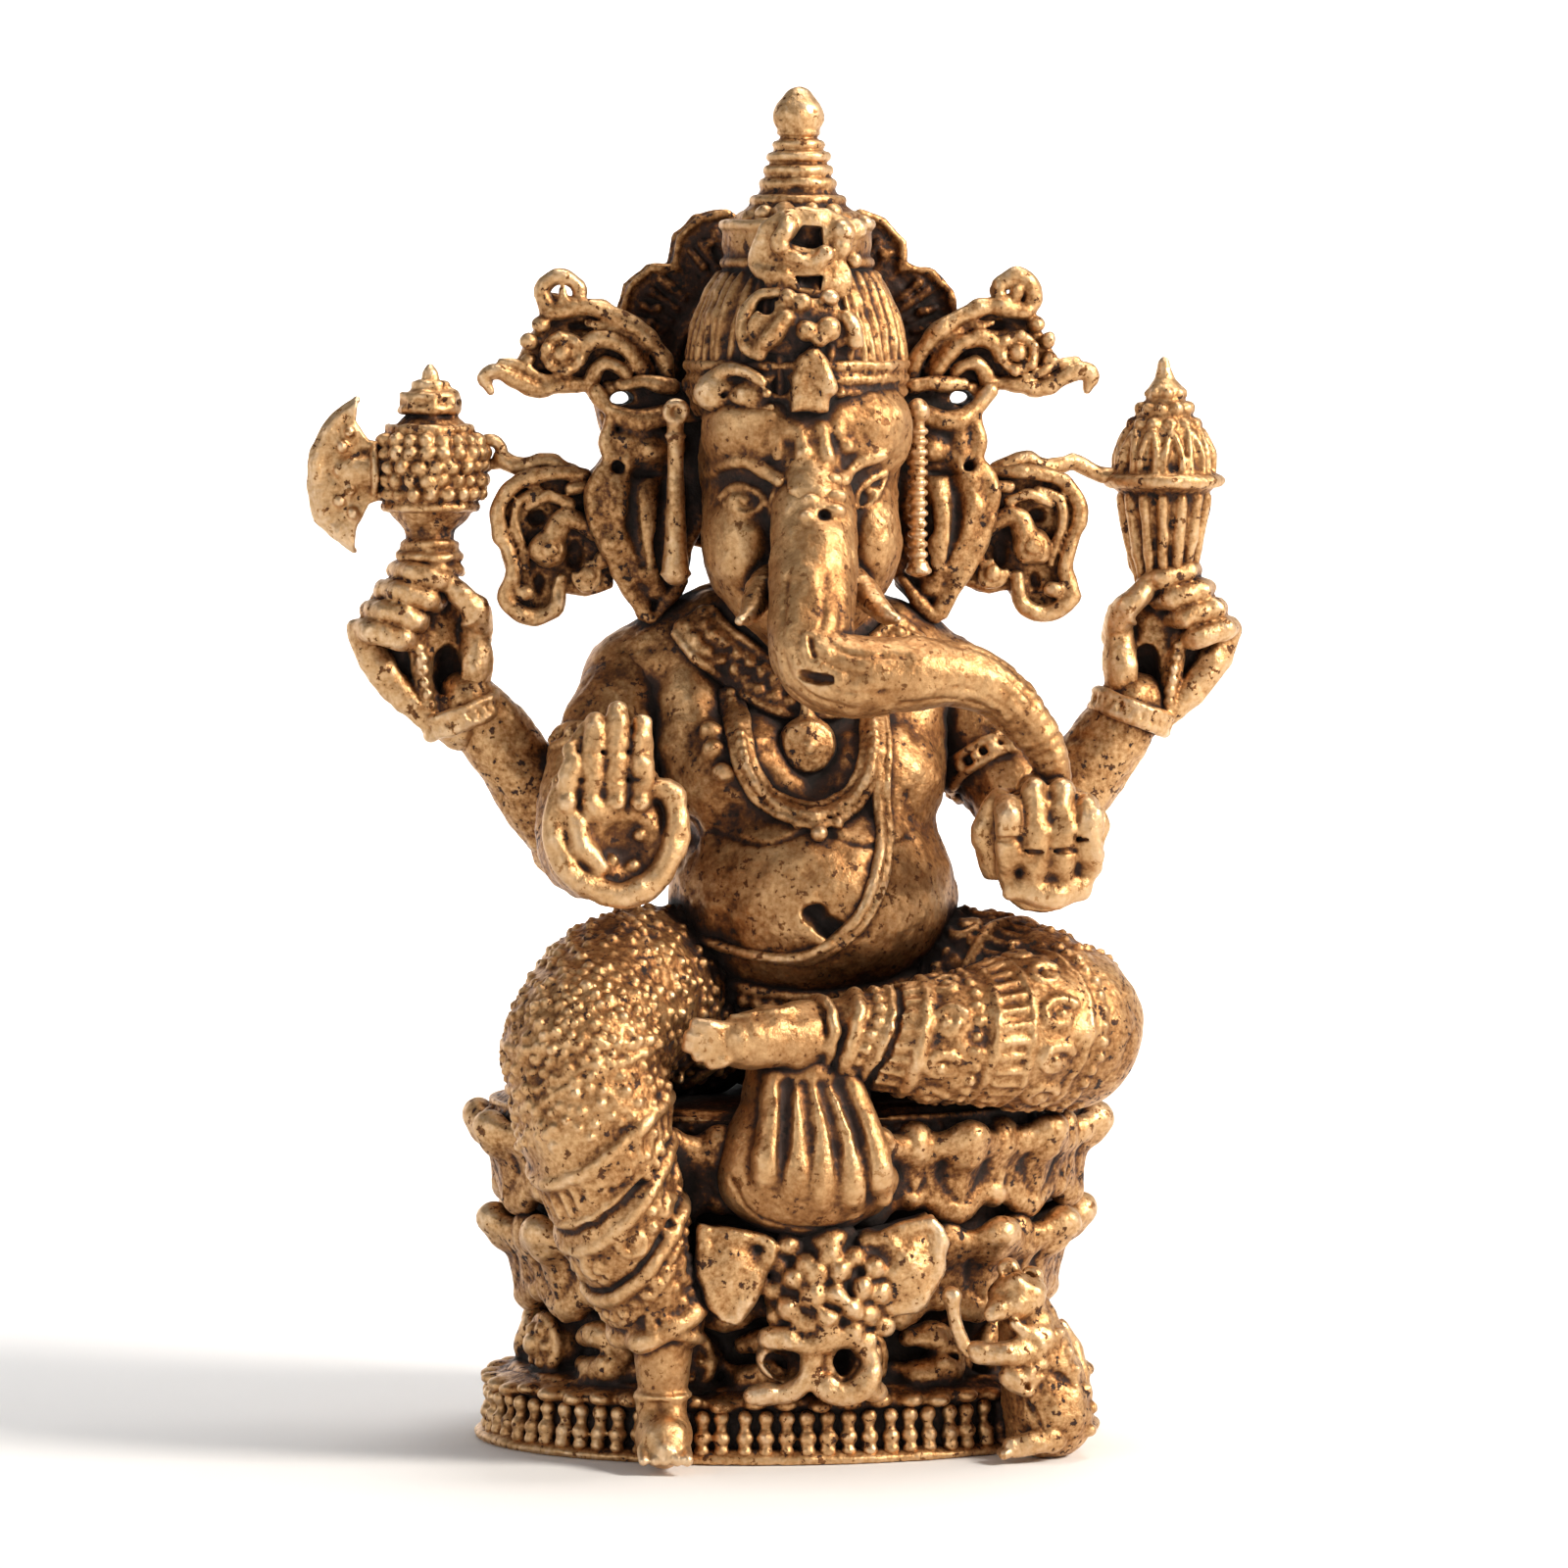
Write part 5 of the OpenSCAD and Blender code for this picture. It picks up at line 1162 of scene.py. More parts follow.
def around(m, r, count, first=0.0):
    """Points evenly round a level circle about m."""
    for i in range(count):
        a = 2 * math.pi * (i + first) / count
        yield m[0] + r * math.cos(a), m[1] + r * math.sin(a), m[2]


def arm_bands(c, p, axis, r):
    """An armlet: two rolled edges with beads between them."""
    axis = V(axis, float) / np.linalg.norm(axis)
    for o in (-0.3, 0.3):
        c.ring(V(p) + axis * o, r, 0.17, axis, 0.05)
    side = np.cross(axis, UP)
    side /= np.linalg.norm(side)
    other = np.cross(axis, side)
    for i in range(18):
        a = 2 * math.pi * i / 18
        c.ball(V(p) + (side * math.cos(a) + other * math.sin(a)) * (r + 0.05), 0.2, 0.05)


def skin(c, seed):
    """The uneven surface of an arm."""
    c.rough(0.05, 0.8, seed)
    c.rough(0.025, 0.3, seed + 100)
    return c


def front_arm(low, high, path, radii, armlet, axis, bangles, tilt, seed):
    """A front arm with an armlet and two bangles. bangles lists their middles and radius."""
    c = Clay(low, high)
    c.tube(path, radii, 0.1)
    arm_bands(c, armlet, axis, 1.75)
    for middle, r in bangles:
        c.ring(middle, r, 0.16, V(tilt), 0.05)
    return skin(c, seed)


def blessing_arm():
    path = [(-5.0, 0.6, 25.0), (-6.0, -0.4, 23.4), (-6.9, -1.4, 21.5), (-7.3, -2.6, 20.1),
            (-7.15, -4.4, 19.7), (-6.9, -6.0, 19.9), (-6.85, -7.0, 20.2)]
    bangles = [((-6.9, y, 19.85), 1.15) for y in (-5.5, -6.0)]
    return front_arm((-9.4, -7.8, 17.2), (-3.0, 2.8, 27.2), path, [1.75, 1.75, 1.6, 1.45, 1.3, 1.1, 0.95],
                     (-6.3, -0.75, 22.7), (-0.45, -0.5, -1), bangles, [0.05, -1, 0.35], 60)


def sweet_arm():
    path = [(5.3, 0.6, 24.8), (6.6, -0.3, 23.2), (7.6, -1.4, 21.4), (8.2, -2.6, 19.9), (8.0, -4.3, 19.2),
            (7.6, -5.9, 19.2), (7.4, -7.0, 19.5)]
    bangles = [((7.6, y, 19.2), 1.2) for y in (-5.4, -5.9)]
    return front_arm((3.2, -7.8, 16.6), (10.3, 2.8, 27), path, [1.8, 1.75, 1.6, 1.45, 1.3, 1.15, 1.0],
                     (6.9, -0.7, 22.5), (0.45, -0.5, -1), bangles, [-0.1, -1, 0.2], 62)


def blessing_hand():
    c = Clay((-9.6, -9.9, 18.0), (-4.0, -6.2, 26.2), 0.08)
    c.ball((-6.8, -7.9, 20.6), (1.9, 0.85, 1.85), 0.2)
    c.ball((-7.0, -7.8, 22.4), (1.7, 0.65, 1.3), 0.3)
    c.ball((-7.0, -7.9, 23.4), (1.35, 0.5, 1.2), 0.3)
    # raised rim of the palm round its hollow
    c.ball((-6.4, -9.0, 20.4), (1.05, 0.85, 1.05), 0.25, cut=True)
    c.tube([(-8.45, -8.1, 22.4), (-8.75, -8.3, 21.0), (-8.35, -8.5, 19.8), (-7.5, -8.6, 19.1),
            (-6.6, -8.65, 18.85), (-5.6, -8.6, 19.3), (-4.95, -8.5, 20.3), (-4.75, -8.3, 21.4),
            (-4.95, -8.2, 22.1), (-5.4, -8.2, 22.3)], [0.36, 0.42, 0.44, 0.44, 0.44, 0.44, 0.42, 0.42, 0.44,
                                                       0.36], 0.15)
    c.tube([(-8.1, -8.45, 21.4), (-7.9, -8.6, 20.5), (-7.3, -8.7, 19.8)], [0.4, 0.44, 0.3], 0.2)
    c.ball((-7.4, -8.5, 21.6), (0.6, 0.4, 0.45), 0.2)
    for x0, x1, top, r in ((-8.35, -8.15, 23.9, 0.4), (-7.65, -7.4, 24.8, 0.44), (-6.85, -6.72, 25.1, 0.46),
                           (-6.0, -5.95, 24.7, 0.42)):
        c.tube([(x0, -8.3, 21.9), (0.5 * (x0 + x1), -8.45, 23.0), (x1, -8.3, top - 0.8), (x1 + 0.03, -8.1,
                                                                                          top - 0.35)],
               [r, r, r * 0.95, r * 0.75], 0.08)
        for z in (22.6, 23.5):
            c.ring((0.5 * (x0 + x1), -8.35, z), r + 0.05, 0.06, UP, 0.06, cut=True)
        c.ball((x0, -8.65, 21.85), (0.34, 0.28, 0.3), 0.12)
    for x, z in ((-6.9, 20.0), (-6.0, 20.8), (-6.2, 19.8)):
        c.ball((x, -8.35, z), 0.22, 0.1)
    c.rough(0.05, 0.5, 61)
    return c


def sweet_hand():
    c = Clay((4.8, -10.2, 17.2), (10.4, -5.4, 23.2), 0.08)
    c.ball((7.4, -7.6, 20.3), (1.95, 1.4, 1.75), 0.3)
    c.ball((7.35, -8.1, 20.5), (1.85, 1.1, 1.65), 0.4)
    # four chubby fingers side by side, with knuckles at the top and dark slits only between their ends
    for x, top, low in ((6.0, 21.6, 19.5), (6.85, 22.1, 19.1), (7.75, 22.1, 19.1), (8.6, 21.6, 19.5)):
        c.tube([(x + 0.08, -8.5, low), (x, -9.0, low + 0.8), (x - 0.02, -9.1, low + 1.8), (x + 0.02, -8.8,
                                                                                           top)],
               [0.42, 0.5, 0.5, 0.42], 0.16)
        c.ball((x, -9.25, low + 1.8), (0.42, 0.3, 0.32), 0.15)
        c.ball((x + 0.02, -8.75, top), (0.44, 0.42, 0.36), 0.12)
        c.ring((x, -8.95, low + 1.1), 0.5, 0.06, UP, 0.08, cut=True)
    for x in (6.43, 7.3, 8.18):
        c.tube([(x, -9.3, 21.9), (x, -9.45, 21.1)], [0.12, 0.05], 0.08, cut=True)
    c.tube([(5.75, -7.6, 19.7), (5.4, -7.9, 20.8), (5.8, -8.1, 21.8)], [0.55, 0.48, 0.4], 0.2)
    c.ball((9.0, -8.2, 21.0), (0.45, 0.5, 0.6), 0.2)
    c.tube([(6.4, -8.6, 18.95), (7.4, -8.8, 18.75), (8.4, -8.5, 18.95)], [0.45, 0.5, 0.45], 0.3)
    c.rough(0.05, 0.45, 63)
    return c


def sweet_bowl():
    c = Clay((5.4, -9.4, 20.6), (9.5, -5.6, 23.4), 0.08)
    rng = np.random.default_rng(8)
    for n, r, z in ((7, 1.15, 21.6), (4, 0.6, 22.1), (1, 0, 22.4)):
        for i in range(n):
            a = 2 * math.pi * (i + 0.4) / n
            c.ball((7.4 + r * math.cos(a), -7.55 + r * 0.85 * math.sin(a), z + rng.uniform(-0.06, 0.06)),
                   0.5, 0.05)
    c.ball((7.4, -7.5, 21.3), (1.2, 1.0, 0.6), 0.1)
    c.rough(0.03, 0.5, 64)
    return c


def raised_upper_arm(low, high, path, armlet, axis, seed):
    c = Clay(low, high)
    c.tube(path, [1.5, 1.5, 1.4], 0.1)
    x, y, z = path[-1]
    c.ball((x + (0.1 if x > 0 else -0.1), y, z - 0.1), 1.45, 0.2)
    arm_bands(c, armlet, axis, 1.5)
    return skin(c, seed)


def axe_upper_arm():
    path = [(-4.7, 1.9, 24.5), (-6.0, 1.8, 21.9), (-7.0, 1.5, 20.0)]
    return raised_upper_arm((-8.9, -0.6, 17.9), (-2.7, 4.0, 26.6), path, (-5.8, 1.85, 22.3), (-0.4, 0, -1),
                            65)


def bud_upper_arm():
    path = [(5.2, 1.9, 24.3), (7.4, 1.8, 21.9), (9.0, 1.5, 20.4)]
    return raised_upper_arm((3.2, -0.6, 18.2), (10.7, 4.0, 26.4), path, (7.0, 1.8, 22.3), (0.65, 0, -0.75),
                            71)


def raised_forearm(low, high, path, seed):
    c = Clay(low, high)
    c.tube(path, [1.35, 1.4, 1.25, 1.05], 0.1)
    return skin(c, seed)


def axe_forearm():
    path = [(-7.1, 1.5, 20.0), (-8.2, 1.5, 21.5), (-9.4, 1.35, 23.1), (-10.6, 1.2, 24.6)]
    return raised_forearm((-12, -0.4, 18.6), (-5.7, 3.2, 26), path, 66)


def bud_forearm():
    path = [(9.1, 1.5, 20.4), (10.1, 1.5, 21.7), (11.2, 1.35, 23.1), (12.0, 1.2, 24.4)]
    return raised_forearm((7.6, -0.4, 18.9), (13.4, 3.2, 25.8), path, 72)


def raised_hand(s, m, seed):
    """A raised fist with a wristband: palm behind, four fingers and thumb rolled round a hollow."""
    c = Clay((m[0] - 3.1, m[1] - 2.0, m[2] - 3.4), (m[0] + 3.1, m[1] + 2.4, m[2] + 3.4), 0.08)

    def at(x, y, z):
        return m[0] + s * x, m[1] + y, m[2] + z

    c.tube([at(-1.2, 0.2, -2.3), at(-0.8, 0.7, -1.0), at(-0.2, 0.8, 0.4), at(0.2, 0.6, 1.8)],
           [1.05, 1.0, 1.1, 0.85], 0.2)
    c.ball(at(0.0, 0.85, -0.1), (1.9, 0.75, 1.6), 0.3)
    c.ball(at(0.3, 0.7, 1.2), (1.6, 0.75, 1.5), 0.3)
    c.tube([at(2.15, 0.3, 0.6), at(1.6, 0.1, -0.5), at(0.75, 0.0, -1.5), at(-0.1, -0.1, -2.2)],
           [0.5, 0.55, 0.55, 0.5], 0.15)
    c.tube([at(-1.45, 0.0, -1.9), at(-1.6, -0.15, -0.6), at(-1.65, 0.0, 0.6)], [0.55, 0.62, 0.5], 0.15)
    for i, x in enumerate((0.0, 0.45, 0.9, 1.3)):
        z = 2.5 - 0.66 * i
        c.tube([at(x + 0.95, 0.4, z + 0.15), at(x + 0.5, -0.6, z + 0.15), at(x - 0.4, -0.85, z - 0.1),
                at(x - 0.75, -0.2, z - 0.2)], [0.38, 0.42, 0.4, 0.34], 0.04)
        c.ball(at(x + 0.5, -0.8, z + 0.15), (0.42, 0.32, 0.36), 0.06)
    c.tube([at(-1.75, 0.3, 0.4), at(-1.65, -0.5, 1.2), at(-1.1, -0.75, 1.85), at(-0.5, -0.6, 2.45)],
           [0.5, 0.5, 0.42, 0.32], 0.06)
    c.ring(at(-1.6, -0.45, 1.15), 0.48, 0.12, V([s * 0.5, 0, 0.8]), 0.04)
    c.tube([at(0.35, -0.1, 0.4), at(0.15, -0.2, -0.9), at(-0.1, -0.1, -2.2)], 0.34, 0.06)
    c.beads([at(0.3, -0.5, 0.3), at(0.12, -0.55, -0.9), at(-0.1, -0.47, -2.0)], 0.42, 0.21)
    c.ball(at(-0.7, -0.1, -0.7), (0.5, 0.75, 0.9), 0.1, cut=True)
    axis = V([s * 0.35, 0, 0.93])
    w = V(at(-1.2, 0.1, -2.15))
    for o in (-0.25, 0.25):
        c.ring(w + axis * o, 1.3, 0.2, axis, 0.05)
    across = np.cross(axis, BACK)
    c.beads([w + 1.32 * (math.cos(t) * across + math.sin(t) * BACK) for t in np.linspace(0, 6.28, 24)],
            0.36, 0.19)
    c.rough(0.035, 0.4, seed)
    return c


def axe_hand():
    return raised_hand(-1, (-12.0, 1.1, 26.3), 67)


def bud_hand():
    return raised_hand(1, (13.1, 1.1, 26.2), 68)


def axe_pot():
    m = (-11.85, 1.1, 0)
    c = Clay((-14.2, -1.2, 27.5), (-9.5, 3.4, 36.3), 0.08)
    c.turned_on(m, [[0.75, 27.9], [0.8, 28.6], [0.95, 29.0], [0.98, 29.7], [0.8, 30.0], [0.85, 30.3],
                    [1.3, 30.8], [1.68, 31.5], [1.82, 32.4], [1.76, 33.0], [1.45, 33.6], [1.0, 34.0],
                    [0.7, 34.2], [0.92, 34.4], [0.9, 34.8], [0.6, 35.1], [0.32, 35.3], [0.28, 35.6],
                    [0.1, 35.85]], 0.05)
    for z, r, w in ((29.0, 0.92, 0.2), (29.45, 0.96, 0.18), (29.85, 0.85, 0.15), (31.1, 1.5, 0.14),
                    (33.7, 1.35, 0.16), (34.35, 0.85, 0.2), (34.75, 0.84, 0.17), (35.15, 0.5, 0.16)):
        c.ring((m[0], m[1], z), r, w, UP, 0.04)
    rng = np.random.default_rng(9)
    for j, z in enumerate((31.55, 32.0, 32.45, 32.9, 33.3)):
        r = np.interp(z, [30.8, 31.5, 32.4, 33.0, 33.6], [1.3, 1.68, 1.82, 1.76, 1.45])
        for q in around((m[0], m[1], z), r, int(2 * math.pi * r / 0.55), 0.5 * (j % 2)):
            c.ball(q, 0.26 * rng.uniform(0.8, 1.15), 0.04)
    for q in around((m[0], m[1], 34.55), 0.85, 8):
        c.ball(q, 0.22, 0.04)
    c.rough(0.04, 0.4, 69)
    return c


def axe_blade():
    c = Clay((-16.3, 0.3, 29.3), (-12.6, 2.0, 35.0), 0.07)
    edge = smooth_path([(-14.3, 0, 34.65), (-15.3, 0, 33.85), (-15.84, 0, 32.5), (-15.72, 0, 31.1),
                        (-15.2, 0, 30.25), (-14.4, 0, 29.68)], 1, 0.3)[0][:, [0, 2]]
    inner = [(-14.3, 30.5), (-13.9, 31.2), (-12.9, 31.5), (-12.9, 33.2), (-13.9, 33.3), (-14.35, 33.95)]
    c.slab(list(edge) + inner, 0.75, 1.45, 0.05, soft=0.12)
    c.tube([(x, 1.1, z) for x, z in edge], 0.13, 0.1, step=0.4)
    c.tube([(-14.6, 1.1, 32.3), (-12.9, 1.1, 32.3)], [0.6, 0.85], 0.1)
    rng = np.random.default_rng(10)
    for y in (0.75, 1.45):
        for x, z in ((-14.9, 33.1), (-14.5, 32.6), (-15.0, 32.3), (-14.5, 33.6), (-14.95, 31.3),
                     (-14.5, 31.7), (-14.5, 30.9), (-14.2, 32.1)):
            c.ball((x + rng.uniform(-0.1, 0.1), y, z), 0.22, 0.05)
    c.ring((-13.75, 1.1, 32.3), 0.8, 0.16, V([1, 0, 0]), 0.05)
    c.rough(0.03, 0.4, 70)
    return c


def lotus_bud():
    m = (13.0, 1.1, 0)
    c = Clay((10.7, -1.3, 27.3), (15.4, 3.6, 36.5), 0.08)
    c.turned_on(m, [[0.7, 27.7], [0.85, 28.4], [1.05, 29.4], [1.35, 30.8], [1.45, 31.4], [1.85, 31.7],
                    [1.9, 32.0], [1.6, 32.3], [1.6, 32.7], [1.35, 33.4], [1.0, 33.9], [0.9, 34.3],
                    [0.65, 34.6], [0.6, 35.0], [0.35, 35.3], [0.15, 35.9]], 0.05)
    c.ring((m[0], m[1], 31.85), 1.85, 0.22, UP, 0.04)
    for i in range(14):
        a = 2 * math.pi * i / 14
        d = V([math.cos(a), math.sin(a), 0])
        q = V(m)
        c.tube([q + d * 0.85 + UP * 28.2, q + d * 1.15 + UP * 29.6, q + d * 1.45 + UP * 31.3],
               [0.16, 0.19, 0.2], 0.04)
    for i in range(12):
        a = 2 * math.pi * i / 12
        d = V([math.cos(a), math.sin(a), 0])
        t = V([-math.sin(a), math.cos(a), 0])
        q = V(m)
        c.tube([q + d * 1.65 + t * -0.3 + UP * 32.2, q + d * 1.6 + t * -0.28 + UP * 32.8,
                q + d * 1.3 + UP * 33.5, q + d * 1.6 + t * 0.28 + UP * 32.8,
                q + d * 1.65 + t * 0.3 + UP * 32.2], 0.14, 0.03)
    for z, r, n, w in ((33.75, 1.05, 12, 0.24), (34.3, 0.82, 10, 0.22), (34.8, 0.58, 8, 0.19)):
        for q in around((m[0], m[1], z), r, n):
            c.ball(q, w, 0.04)
    c.ball((m[0], m[1], 35.75), (0.2, 0.2, 0.3), 0.05)
    c.rough(0.03, 0.5, 73)
    return c


def left_strut():
    c = Clay((-10.8, 0.0, 31.4), (-6.4, 1.8, 34), 0.07)
    c.tube([(-7.2, 0.5, 32.2), (-8.0, 0.6, 32.6), (-8.8, 0.8, 32.4), (-9.5, 0.9, 32.7)], [0.36, 0.3, 0.3,
                                                                                          0.3], 0.05)
    c.ring((-9.9, 1.0, 32.9), 0.42, 0.2, BACK, 0.05)
    c.rough(0.03, 0.4, 74)
    return c


def right_strut():
    c = Clay((6.6, 0.0, 31.4), (11.9, 1.8, 33.2), 0.07)
    c.tube([(7.2, 0.5, 32.2), (8.1, 0.6, 32.6), (9.0, 0.7, 32.3), (9.8, 0.9, 32.5), (10.7, 1.0, 32.1),
            (11.4, 1.0, 32.0)], [0.36, 0.3, 0.3, 0.3, 0.28, 0.3], 0.05)
    c.rough(0.03, 0.4, 75)
    return c


# the hanging leg, from the hip to the knee and from the knee to the hem, mm
HANGING_THIGH = [(-3.4, -0.4, 14.2), (-5.6, -3.0, 15.0), (-7.0, -5.4, 14.45), (-7.6, -6.9, 13.7)]
HANGING_THIGH_RADII = [2.9, 2.85, 2.62, 2.6]
HANGING_SHIN = [(-7.65, -6.9, 13.6), (-7.4, -7.4, 11.4), (-6.6, -7.3, 8.6), (-5.6, -7.0, 5.8),
                (-5.2, -6.8, 4.9)]
HANGING_SHIN_RADII = [2.65, 2.5, 2.05, 1.65, 1.5]


def hanging_thigh():
    c = Clay((-10.6, -10.0, 11.3), (-0.2, 3.0, 18.8))
    c.tube(HANGING_THIGH, HANGING_THIGH_RADII, 0.1)
    c.tube([(-3.6, -1.0, 15.6), (-5.2, -2.4, 16.2)], [2.2, 1.6], 0.6)
    c.rough(0.07, 0.8, 81)
    limb = Limb(c, HANGING_THIGH + [(-8.1, -9.5, 12.6)], HANGING_THIGH_RADII + [2.3])
    limb.pattern(c, [("fold", 1.2), ("dots", 1.8), ("line", 2.4)], 0.0, 0.3, 80)
    limb.grains(c, 0.2, limb.s[-1], -180, 180, 2200, 85, 0.18)
    c.keep(11.45)
    return c


def hanging_shin():
    c = Clay((-10.8, -10.4, 3.6), (-2.8, -3.8, 17.2))
    c.tube(HANGING_SHIN, HANGING_SHIN_RADII, 0.1)
    c.rough(0.08, 0.9, 83)
    knee = Limb(c, [(-7.8, -6.5, 16.0), (-7.65, -6.9, 13.6)], [2.1, 2.65])
    knee.pattern(c, [("line", 1.5)], 0.5, -0.3, 79)
    knee.grains(c, 0.0, 2.5, -180, 180, 700, 78, 0.19)
    limb = Limb(c, HANGING_SHIN, HANGING_SHIN_RADII)
    limb.pattern(c, [("line", 0.1), ("line", 0.7), ("fold", 2.6), ("ticks", 3.2), ("line", 3.75),
                     ("crease", 4.1), ("fold", 4.6), ("curls", 5.6), ("crease", 6.2), ("fold", 6.6),
                     ("dots", 7.1), ("line", 7.5), ("curls", 8.3), ("fold", 9.1), ("ticks", 9.6)], 0.5,
                 -0.95, 82)
    limb.grains(c, 0.0, 2.5, -180, 180, 700, 84, 0.19)
    limb.grains(c, 2.6, 9.4, 20, 110, 160, 85, 0.2)
    # bell-shaped hem
    c.tube(limb.hoop(9.75, 0.35, -0.2), 0.36, 0.12)
    c.ring((-5.1, -6.9, 4.5), 1.3, 0.2, V([0.25, 0.05, 1]), 0.06)
    return c


def hanging_foot():
    c = Clay((-7.2, -9.9, 0), (-3.4, -5.2, 5.2), 0.08)
    c.tube([(-5.1, -7.0, 4.7), (-5.1, -7.05, 3.6), (-5.1, -7.1, 2.6), (-5.12, -7.2, 1.8),
            (-5.15, -7.5, 1.1), (-5.2, -8.1, 0.9), (-5.25, -8.6, 0.7)], [1.15, 0.95, 0.8, 0.82, 0.95, 0.8,
                                                                         0.55], 0.1)
    c.ball((-5.1, -6.7, 0.9), (0.8, 0.8, 0.85), 0.25)
    c.ring((-5.1, -7.1, 2.35), 0.82, 0.14, UP, 0.08)
    for i in range(5):
        c.tube([(-5.85 + i * 0.32, -8.3, 0.75), (-5.95 + i * 0.35, -8.9 - 0.06 * i, 0.5)], [0.24, 0.2],
               0.06)
    c.rough(0.05, 0.6, 84)
    c.keep(0.05)
    return c


# the folded leg, from the hip to the knee and from the knee to the ankle, mm
FOLDED_THIGH = [(3.4, -0.2, 14.3), (5.8, -1.8, 14.5), (7.8, -3.7, 14.3), (8.5, -4.8, 14.0)]
FOLDED_THIGH_RADII = [2.9, 2.9, 2.85, 2.7]
FOLDED_SHIN = [(8.3, -5.0, 14.0), (6.6, -6.2, 13.95), (4.4, -6.9, 13.85), (2.2, -7.2, 13.9),
               (0.2, -7.3, 14.1)]
FOLDED_SHIN_RADII = [2.7, 2.45, 2.05, 1.65, 1.2]


def folded_thigh():
    c = Clay((0.4, -8.4, 11.1), (12.0, 3.1, 18.0))
    c.tube(FOLDED_THIGH, FOLDED_THIGH_RADII, 0.1)
    c.tube([(4.2, -1.6, 15.6), (6.2, -2.8, 15.9)], [2.1, 1.6], 0.6)
    c.rough(0.06, 0.8, 87)
    limb = Limb(c, FOLDED_THIGH, FOLDED_THIGH_RADII)
    limb.pattern(c, [("fold", 1.4), ("dots", 2.0), ("line", 2.5), ("curls", 3.4), ("fold", 4.3),
                     ("ticks", 4.9), ("line", 5.5)], 0.0, 0.25, 86)
    limb.grains(c, 0.2, limb.s[-1] + 0.5, -180, 180, 700, 88, 0.19)
    c.keep(11.3)
    return c


def folded_shin():
    c = Clay((-1.6, -10.1, 10.8), (11.8, -2.2, 17.4))
    c.tube(FOLDED_SHIN, FOLDED_SHIN_RADII, 0.1)
    c.rough(0.06, 0.8, 89)
    limb = Limb(c, FOLDED_SHIN, FOLDED_SHIN_RADII)
    limb.pattern(c, [("dots", 0.7), ("line", 1.1), ("curls", 1.9), ("line", 2.7), ("ticks", 3.2),
                     ("line", 3.7), ("dots", 4.15), ("curls", 5.0), ("fold", 5.7), ("ticks", 6.3),
                     ("crease", 6.8), ("line", 7.1), ("dots", 7.5), ("fold", 7.95)], 0.0, 0.35, 88)
    limb.grains(c, 0.0, 8.0, 60, 200, 300, 90, 0.17)
    return c


def folded_foot():
    c = Clay((-6.0, -10.2, 12.2), (0.8, -6.0, 16.4), 0.08)
    c.tube([(-0.2, -7.3, 14.1), (-1.4, -7.8, 14.15), (-2.4, -8.2, 14.1), (-3.4, -8.45, 14.0)],
           [1.15, 1.05, 0.9, 0.6], 0.1)
    c.ball((-0.7, -7.5, 13.9), (1.1, 1.2, 1.15), 0.3)
    c.ball((-2.2, -8.1, 13.85), (1.3, 0.8, 0.75), 0.25)
    c.ring((-0.1, -7.4, 14.15), 1.22, 0.16, V([1, 0.35, -0.1]), 0.12)
    # toes one above another, the middle ones longest
    for i, (x, z) in enumerate(((-3.7, 13.4), (-4.15, 13.65), (-4.4, 13.95), (-4.4, 14.28), (-4.2, 14.62))):
        c.tube([(-2.9, -8.45, 13.75 + i * 0.16), (0.5 * (x - 2.9), -8.7, 0.5 * (z + 13.75 + i * 0.16)),
                (x, -8.7, z)], [0.34, 0.3, 0.24], 0.1)
    c.draw([(-3.0, 14.85), (-2.0, 15.0), (-1.0, 15.05)], 0.1, 0.08, lift=0.02)
    c.rough(0.05, 0.5, 90)
    return c


def single(*drawers):
    """Pieces that are named after the functions that draw them."""
    return [(f.__name__, f) for f in drawers]


def pair(drawer):
    """The left and right pieces that one function draws."""
    return [("left_" + drawer.__name__, lambda: drawer(-1)), ("right_" + drawer.__name__,
                                                              lambda: drawer(1))]


PIECES = (single(base_plinth, plinth_beads, frieze_drum, lower_lotus, upper_lotus, seat_cushion,
                 flower_cluster, dhoti_pleats, mouse, mouse_staff, head, trunk) + pair(tusk) + pair(ear)
          + single(left_ear_drop, right_ear_drop) + pair(upper_scroll) + pair(lower_scroll)
          + single(halo_disc, crown_dome, crown_diadem, crown_jewel, crown_spire, blessing_arm,
                   blessing_hand, sweet_arm, sweet_hand, sweet_bowl, axe_upper_arm, axe_forearm, axe_hand,
                   axe_pot, axe_blade, bud_upper_arm, bud_forearm, bud_hand, lotus_bud, left_strut,
                   right_strut, hanging_thigh, hanging_shin, hanging_foot, folded_thigh, folded_shin,
                   folded_foot, collar_necklace, long_necklace, sacred_thread, waist_belt))


def build():
    """Models every piece. The torso comes first, because the necklaces are laid on it."""
    made["torso"] = torso()
    with ThreadPoolExecutor(4) as pool:
        clays = list(pool.map(lambda piece: piece[1](), PIECES))
    for (name, drawer), clay in zip(PIECES, clays):
        made[name] = clay


def box_blur(v, n, times):
    """A soft blur: a running mean over 2n+1 cells along each axis, repeated."""
    for _ in range(times):
        for i in range(3):
            pad = [(n + 1, n) if a == i else (0, 0) for a in range(3)]
            s = np.cumsum(np.pad(v, pad, mode="edge"), axis=i, dtype=np.float32)
            m = v.shape[i]
            v = (np.take(s, range(2 * n + 1, 2 * n + 1 + m), i) - np.take(s, range(0, m),
                                                                          i)) / np.float32(2 * n + 1)
    return v


